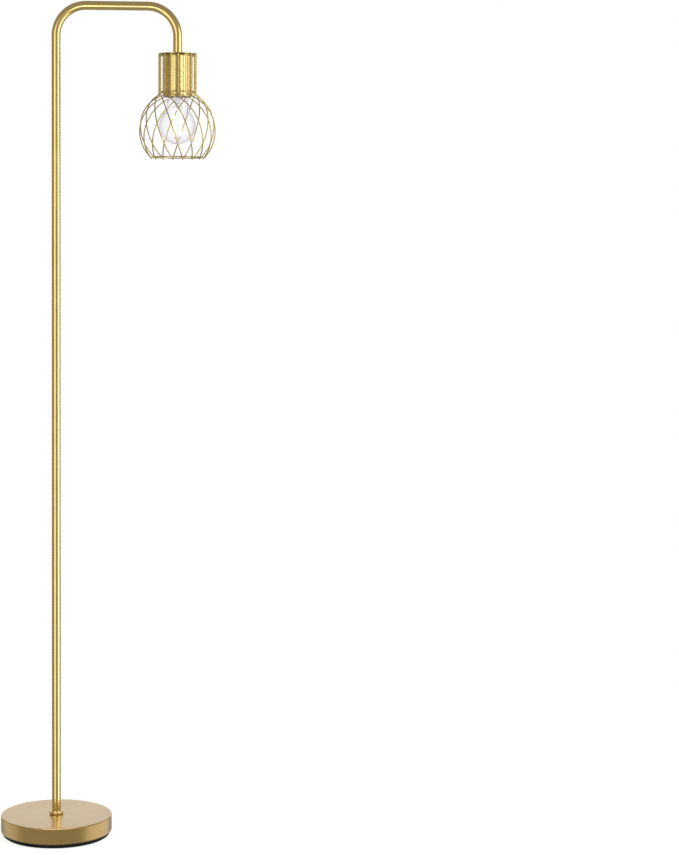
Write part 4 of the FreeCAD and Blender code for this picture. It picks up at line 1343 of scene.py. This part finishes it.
@dataclass
class Head:
    """The deep cup and the lampholder inside it."""

    radius: float = 0.0285
    height: float = 0.0795
    wall: float = 0.001
    plate: float = 0.0015
    top_rounding: float = 0.003
    rim_rounding: float = 0.0016
    inner_rounding: float = 0.0005
    stem_hole: float = 0.0052

    def build(self, frame: Frame) -> None:
        """Builds the cup and dresses the lampholder.

        Args:
            frame: the loaded frame
        """
        self.cup()
        dress(frame, Looks.STEEL, "head_stem", "head_lock_washer", "head_nut", "terminal_screws")
        dress(frame, Looks.HOLDER, "holder_cap", "holder_body")
        dress(frame, Looks.BRASS, "screw_shell", "centre_contact", "terminal_plates")

    def cup(self) -> None:
        """The deep drawn cup, its rim turned in."""
        top, rim = -self.plate, -self.plate - self.height
        inside = self.radius - self.wall
        lip = inside - self.rim_rounding
        outline = rounded(
            [
                (self.stem_hole, top, 0.0),
                (self.radius, top, self.top_rounding),
                (self.radius, rim, self.rim_rounding),
                (lip, rim, 0.0),
                (lip, rim + self.wall, 0.0),
                (inside, rim + self.wall, self.inner_rounding),
                (inside, top - self.wall, self.top_rounding - self.wall),
                (self.stem_hole, top - self.wall, 0.0),
            ],
            steps=9,
        )
        shape = Shape()
        shape.lathe(outline, HEAD, segments=144)
        add_piece("cup_shell", shape, Looks.CUP, Body.LAMP, ["socket_cup"])


@dataclass
class Bulb:
    """The clear bulb: envelope, glass foot, lit strips, their wires and the screw cap."""

    tip_height: float = 1.30925
    globe: float = 0.0347
    wall: float = 0.0008
    hollow: float = 0.020
    neck_end: float = 0.015
    lean: float = 10.5
    length: float = 0.1045
    strip_low: float = 0.0145
    strip_length: float = 0.050
    strip_radius: float = 0.0011
    circle_low: float = 0.008
    circle_high: float = 0.0115
    strips: int = 4
    chips: int = 26
    crimp_inside: float = 0.0004
    crimp_outside: float = 0.0013
    crimp_radius: float = 0.00062
    crimp_edge: float = 0.0001
    support: float = 0.00035
    support_overlap: float = 0.001
    pinch_turn: float = 28.0
    flutes: int = 12

    @property
    def origin(self) -> Vector:
        """The lowest point of the glass."""
        return Vector((HEAD.x, HEAD.y, self.tip_height))

    def build(self, frame: Frame) -> None:
        """Builds the glass and all inside it, and dresses the cap.

        Args:
            frame: the loaded frame
        """
        self.envelope()
        self.foot()
        self.lights()
        dress(frame, Looks.CAP, "bulb_cap")
        dress(frame, Looks.INSULATOR, "bulb_insulator")
        dress(frame, Looks.SOLDER, "bulb_tip")

    def side(self, inset: float) -> Outline:
        """One side of the glass's section, from its tip to its neck's end.

        Args:
            inset: distance inside the outer face

        Returns:
            The side's points.
        """
        lean = math.radians(self.lean)
        inward = Vector((math.cos(lean), math.sin(lean)))
        middle = Vector((0, self.globe))
        along = Vector((math.sin(lean), -math.cos(lean)))
        hub = Vector((self.neck_end, self.length)) + inward * self.hollow - middle
        half = hub.dot(along)
        reach = -half - math.sqrt(half**2 - hub.length_squared + (self.globe + self.hollow) ** 2)
        centre = middle + hub + along * reach
        toward = centre - middle
        rise = math.atan2(toward.y, toward.x)
        ball, curve = self.globe - inset, self.hollow + inset
        made = []
        globe_steps, curve_steps = 48, 20
        for step in range(globe_steps + 1):
            angle = -math.pi / 2 + (rise + math.pi / 2) * step / globe_steps
            made.append((max(0.0, ball * math.cos(angle)), middle.y + ball * math.sin(angle)))
        for step in range(1, curve_steps + 1):
            angle = rise + math.pi + (lean - rise) * step / curve_steps
            made.append((centre.x + curve * math.cos(angle), centre.y + curve * math.sin(angle)))
        across, up = made[-1]
        run = (self.length - up) / inward.x
        made.append((across - run * inward.y, self.length))
        return made

    def envelope(self) -> None:
        """The blown envelope, one even wall thick."""
        outer, inner = self.side(0.0), self.side(self.wall)
        shape = Shape()
        shape.lathe(outer + inner[::-1], self.origin, segments=144, closed=False)
        add_piece("envelope", shape, Looks.GLASS, Body.BULB, ["bulb_glass"])

    def foot(self) -> None:
        """The glass foot: a button, a rod, a flat pinch, a fluted tube and a flare.

        Each station is a height and a radius in millimetres, how flat the pinch is there and how deep the flutes
        are.
        """
        stations = [
            (10.5, 0.0, 1.0, 0.0), (10.7, 1.3, 1.0, 0.0), (11.4, 2.0, 1.0, 0.0), (12.4, 2.2, 1.0, 0.0),
            (13.6, 2.0, 1.0, 0.0), (14.8, 1.4, 1.0, 0.0), (15.8, 1.2, 1.0, 0.0), (67.5, 1.2, 1.0, 0.0),
            (68.8, 1.5, 1.0, 0.0), (70.0, 2.8, 0.8, 0.0), (71.2, 4.4, 0.6, 0.0), (73.0, 5.2, 0.5, 0.0),
            (75.0, 5.0, 0.55, 0.03), (77.0, 4.6, 0.8, 0.06), (79.0, 4.6, 1.0, 0.07), (84.5, 5.1, 1.0, 0.06),
            (90.0, 7.2, 1.0, 0.03), (96.0, 10.6, 1.0, 0.01), (101.0, 13.3, 1.0, 0.0), (104.5, 13.8, 1.0, 0.0),
            (104.5, 13.1, 1.0, 0.0), (101.0, 12.6, 1.0, 0.0), (96.0, 9.9, 1.0, 0.0), (90.0, 6.5, 1.0, 0.02),
            (84.5, 4.3, 1.0, 0.04), (80.0, 3.7, 1.0, 0.04), (78.0, 2.4, 0.8, 0.0), (77.2, 0.0, 1.0, 0.0),
        ]  # fmt: skip
        around = 96
        pinch = Matrix.Rotation(math.radians(self.pinch_turn), 3, "Z")
        rings = []
        for up, radius, flat, depth in stations:
            ring = []
            for k in range(around if radius else 1):
                turn = 2 * math.pi * k / around
                reach = radius * MM * (1 + depth * math.cos(self.flutes * turn))
                spot = Vector((reach * math.cos(turn), reach * math.sin(turn) * flat, 0))
                ring.append(self.origin + pinch @ spot + UP * (up * MM))
            rings.append(ring)
        shape = Shape()
        shape.skin(rings)
        add_piece("glass_foot", shape, Looks.FOOT_GLASS, Body.BULB, ["bulb_stem"])

    def lights(self) -> None:
        """The lit strips, the sleeves crimped on their ends and the wires that hold them.

        A support wire's stops are distances from the axis and heights past the strip's end, in millimetres, and the
        wire winds round the axis by a few degrees from each stop to the next.
        """
        low, high = self.strip_low, self.strip_low + self.strip_length
        above = [(3.2, 7.5), (5.2, 6.6), (7.6, 6.4), (9.8, 5.4), (11.2, 3.2)]
        below = [(1.6, -2.2), (3.6, -3.0), (6.0, -3.0), (7.6, -1.9)]
        strips, wires, count = Shape(), Shape(), 96
        for number in range(self.strips):
            turn = 45 + 360 * number / self.strips
            top, bottom = on_circle(self.circle_high, turn, high), on_circle(self.circle_low, turn, low)
            along = (top - bottom).normalized()
            path = [self.origin + bottom.lerp(top, k / (count - 1)) for k in range(count)]
            strips.tube(path, self.strip_width, sides=16)
            for end, way, level, winding, route in ((top, along, high, 6, above), (bottom, -along, low, -7, below)):
                here = self.origin + end
                crimp = [here - way * self.crimp_inside, here + way * self.crimp_outside]
                wires.tube(crimp, self.crimp_radius, sides=12, chamfer=self.crimp_edge)
                stops = [
                    on_circle(across * MM, turn + winding * (len(route) - k), level + up * MM)
                    for k, (across, up) in enumerate(route)
                ]
                line = smooth_line([*stops, end + way * self.support_overlap], 8)
                wires.tube([self.origin + spot for spot in line], self.support, sides=10)
        add_piece("light_strips", strips, Looks.FILAMENT, Body.BULB, ["bulb_filaments"])
        add_piece("support_wires", wires, Looks.SUPPORT, Body.BULB, ["bulb_supports"])

    def strip_width(self, share: float) -> float:
        """A strip's radius: rounded ends and a low bead over each chip.

        Args:
            share: how far along the strip, from 0 to 1

        Returns:
            The radius there.
        """
        blunt, swell = 0.35, 0.035
        near = min(share, 1 - share) * self.strip_length / self.strip_radius
        end = math.sqrt(max(0.0, 1 - (1 - min(near, 1.0)) ** 2)) if near < 1 else 1.0
        bead = 1 - swell + swell * math.cos(2 * math.pi * self.chips * share)
        return self.strip_radius * max(blunt, end) * bead


# The studio

PANEL_AXIS = 0.1
"""The panels stand round this X, between the pole and the head."""
WATTS = 4
"""A panel's power for each square metre and each unit of its brightness."""


@dataclass(frozen=True)
class Panel:
    """A soft light panel that stands round the lamp."""

    name: str
    azimuth: float
    """Degrees from the viewer's side towards +X."""
    width: float
    low: float
    high: float
    brightness: float
    distance: float = 2.6
    lift: float = 0.0
    """Degrees by which the panel is raised over the lamp."""
    spared: tuple[str, ...] = ()
    """Pieces that the panel leaves dark."""
    only: tuple[str, ...] = ()
    """The only pieces that the panel lights, or none to light them all."""

    def set_up(self) -> None:
        """Stands the panel up, facing the lamp."""
        light = bpy.data.lights.new(self.name, "AREA")
        light.shape = "RECTANGLE"
        light.size, light.size_y = self.width, self.high - self.low
        light.energy = self.brightness * WATTS * light.size * light.size_y
        stand = bpy.data.objects.new(self.name, light)
        bpy.context.scene.collection.objects.link(stand)
        lift = math.radians(self.lift)
        level = on_circle(1, self.azimuth - 90, 0)
        across = UP.cross(level)
        out = level * math.cos(lift) + UP * math.sin(lift)
        spot = Vector((PANEL_AXIS, 0, (self.low + self.high) / 2)) + out * self.distance
        turn = Matrix((across, out.cross(across), out)).transposed()
        stand.matrix_world = Matrix.Translation(spot) @ turn.to_4x4()
        stand.visible_camera = False
        stand.visible_transmission = False
        if self.spared or self.only:
            linked = bpy.data.collections.new(f"{self.name}_links")
            for name in self.spared or self.only:
                linked.objects.link(bpy.data.objects[name])
            for held in linked.collection_objects:
                held.light_linking.link_state = "EXCLUDE" if self.spared else "INCLUDE"
            stand.light_linking.receiver_collection = linked
        log.info("%s: light at %.0f degrees", self.name, self.azimuth)


@dataclass
class Studio:
    """The pale floor, the plain soft light and the camera."""

    camera_at: Vector = field(default_factory=lambda: Vector((0.060, -4.0, 1.1463)))
    yaw: float = 4.476
    pitch: float = 2.984
    roll: float = 0.25
    lens: float = 89.30
    sensor: float = 36.0
    shift: tuple[float, float] = (0.1, -0.1)
    seen: tuple[float, float] = (0.05, 60.0)
    """The nearest and farthest distance that the camera sees."""
    floor_radius: float = 1.6
    floor_fade: float = 0.5
    floor_dark: Colour = (0.74, 0.74, 0.74)
    floor_pale: Colour = (0.78, 0.78, 0.78)
    floor_glow: float = 0.72
    surround: float = 0.33
    panels: tuple[Panel, ...] = (
        Panel("panel_left", -34.0, 1.5, -0.9, 2.2, 1.1, spared=("cover_shell",)),
        Panel("panel_right", 70.0, 3.2, -0.9, 2.2, 0.62, spared=("cover_shell",)),
        Panel("panel_right_core", 60.0, 0.5, -0.9, 2.2, 3.4, spared=("cover_shell",)),
        Panel("panel_cup", 31.0, 0.3, 0.6, 2.2, 3.8, only=("cup_shell",)),
        Panel("panel_arm", 0.0, 4.2, -2.9, -0.1, 2.9, distance=8.0, only=("arm_tube_bent",)),
        Panel("panel_base", 100.0, 4.0, -1.8, 0.7, 0.42, only=("cover_shell",)),
        Panel("panel_base_left", -108.0, 2.4, -1.8, 0.7, 0.24, only=("cover_shell",)),
        Panel("panel_above", 0.0, 2.4, -0.8, 1.4, 1.6, lift=72.0, only=("cover_shell", "collar_ring")),
        Panel("panel_back", 180.0, 4.2, 0.1, 2.6, 0.40, distance=3.2),
    )

    def build(self) -> None:
        """Builds the studio."""
        self.camera()
        self.world()
        self.floor()
        for panel in self.panels:
            panel.set_up()
        bpy.context.scene.view_settings.view_transform = "Standard"

    def camera(self) -> None:
        """The camera at the photograph's viewing angle."""
        yaw, pitch, roll = (math.radians(a) for a in (self.yaw, self.pitch, self.roll))
        ahead = Vector((math.sin(yaw) * math.cos(pitch), math.cos(yaw) * math.cos(pitch), -math.sin(pitch)))
        right = ahead.cross(UP).normalized()
        above = right.cross(ahead)
        turned = right * math.cos(roll) + above * math.sin(roll)
        data = bpy.data.cameras.new("camera")
        data.lens, data.sensor_width = self.lens, self.sensor
        data.shift_x, data.shift_y = self.shift
        data.clip_start, data.clip_end = self.seen
        made = bpy.data.objects.new("camera", data)
        bpy.context.scene.collection.objects.link(made)
        turn = Matrix((turned, turned.cross(ahead), -ahead)).transposed().to_4x4()
        made.matrix_world = Matrix.Translation(self.camera_at) @ turn
        bpy.context.scene.camera = made

    def world(self) -> None:
        """White behind the lamp and through its glass, and mid grey for what its surfaces reflect."""
        made = bpy.data.worlds.new("surround")
        bpy.context.scene.world = made
        made.use_nodes = True
        board = Board(made.node_tree)
        ray = board.add("LightPath").outputs
        lights = board.sum("MAXIMUM", ray["Is Glossy Ray"], ray["Is Diffuse Ray"])
        lights = board.sum("SUBTRACT", lights, ray["Is Transmission Ray"])
        grey = (self.surround,) * 3
        white = board.add("Background", {"Color": board.blend(lights, (1.0, 1.0, 1.0), grey)})
        board.add("OutputWorld", {"Surface": white.outputs[0]})

    def floor(self) -> None:
        """A pale round floor that fades into the surround."""
        shape = Shape()
        outline = [(0.0, 0.0), (0.35, 0.0), (0.8, 0.0), (self.floor_radius, 0.0)]
        shape.lathe(outline, Vector(), segments=96, closed=False)
        made = bpy.data.objects.new("floor", shape.mesh("floor"))
        bpy.context.scene.collection.objects.link(made)
        material = bpy.data.materials.new("pale_floor")
        material.use_nodes = True
        board = Board(material.node_tree)
        place = board.add("TexCoord").outputs["Object"]
        away = board.add("VectorMath", {0: place}, operation="LENGTH").outputs["Value"]
        speckle = board.place(paint_grain(), Scale=500.0, Patch=6.0).outputs
        matt = board.add("BsdfDiffuse", {"Color": board.blend(speckle["Height"], self.floor_dark, self.floor_pale)})
        glow = board.add("Emission", {"Color": (1, 1, 1, 1), "Strength": self.floor_glow})
        lit = board.add("AddShader", {0: matt.outputs[0], 1: glow.outputs[0]})
        clear = board.add("BsdfTransparent")
        fade = board.span(away, self.floor_fade, self.floor_radius)
        board.end(board.add("MixShader", {0: fade, 1: lit.outputs[0], 2: clear.outputs[0]}).outputs[0])
        made.data.materials.append(material)
        made.visible_glossy = False
        made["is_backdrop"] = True


def corners() -> list[list[float]]:
    """The lowest and highest corner of all that is shown, as plain lists."""
    return [list(corner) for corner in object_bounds()]


def main() -> None:
    """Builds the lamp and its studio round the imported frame."""
    logging.basicConfig(level=logging.INFO, format="%(message)s")
    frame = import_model()
    Base().build(frame)
    Pole().build(frame)
    Cage().build()
    Head().build(frame)
    Bulb().build(frame)
    Studio().build()


if __name__ == "__main__":
    main()
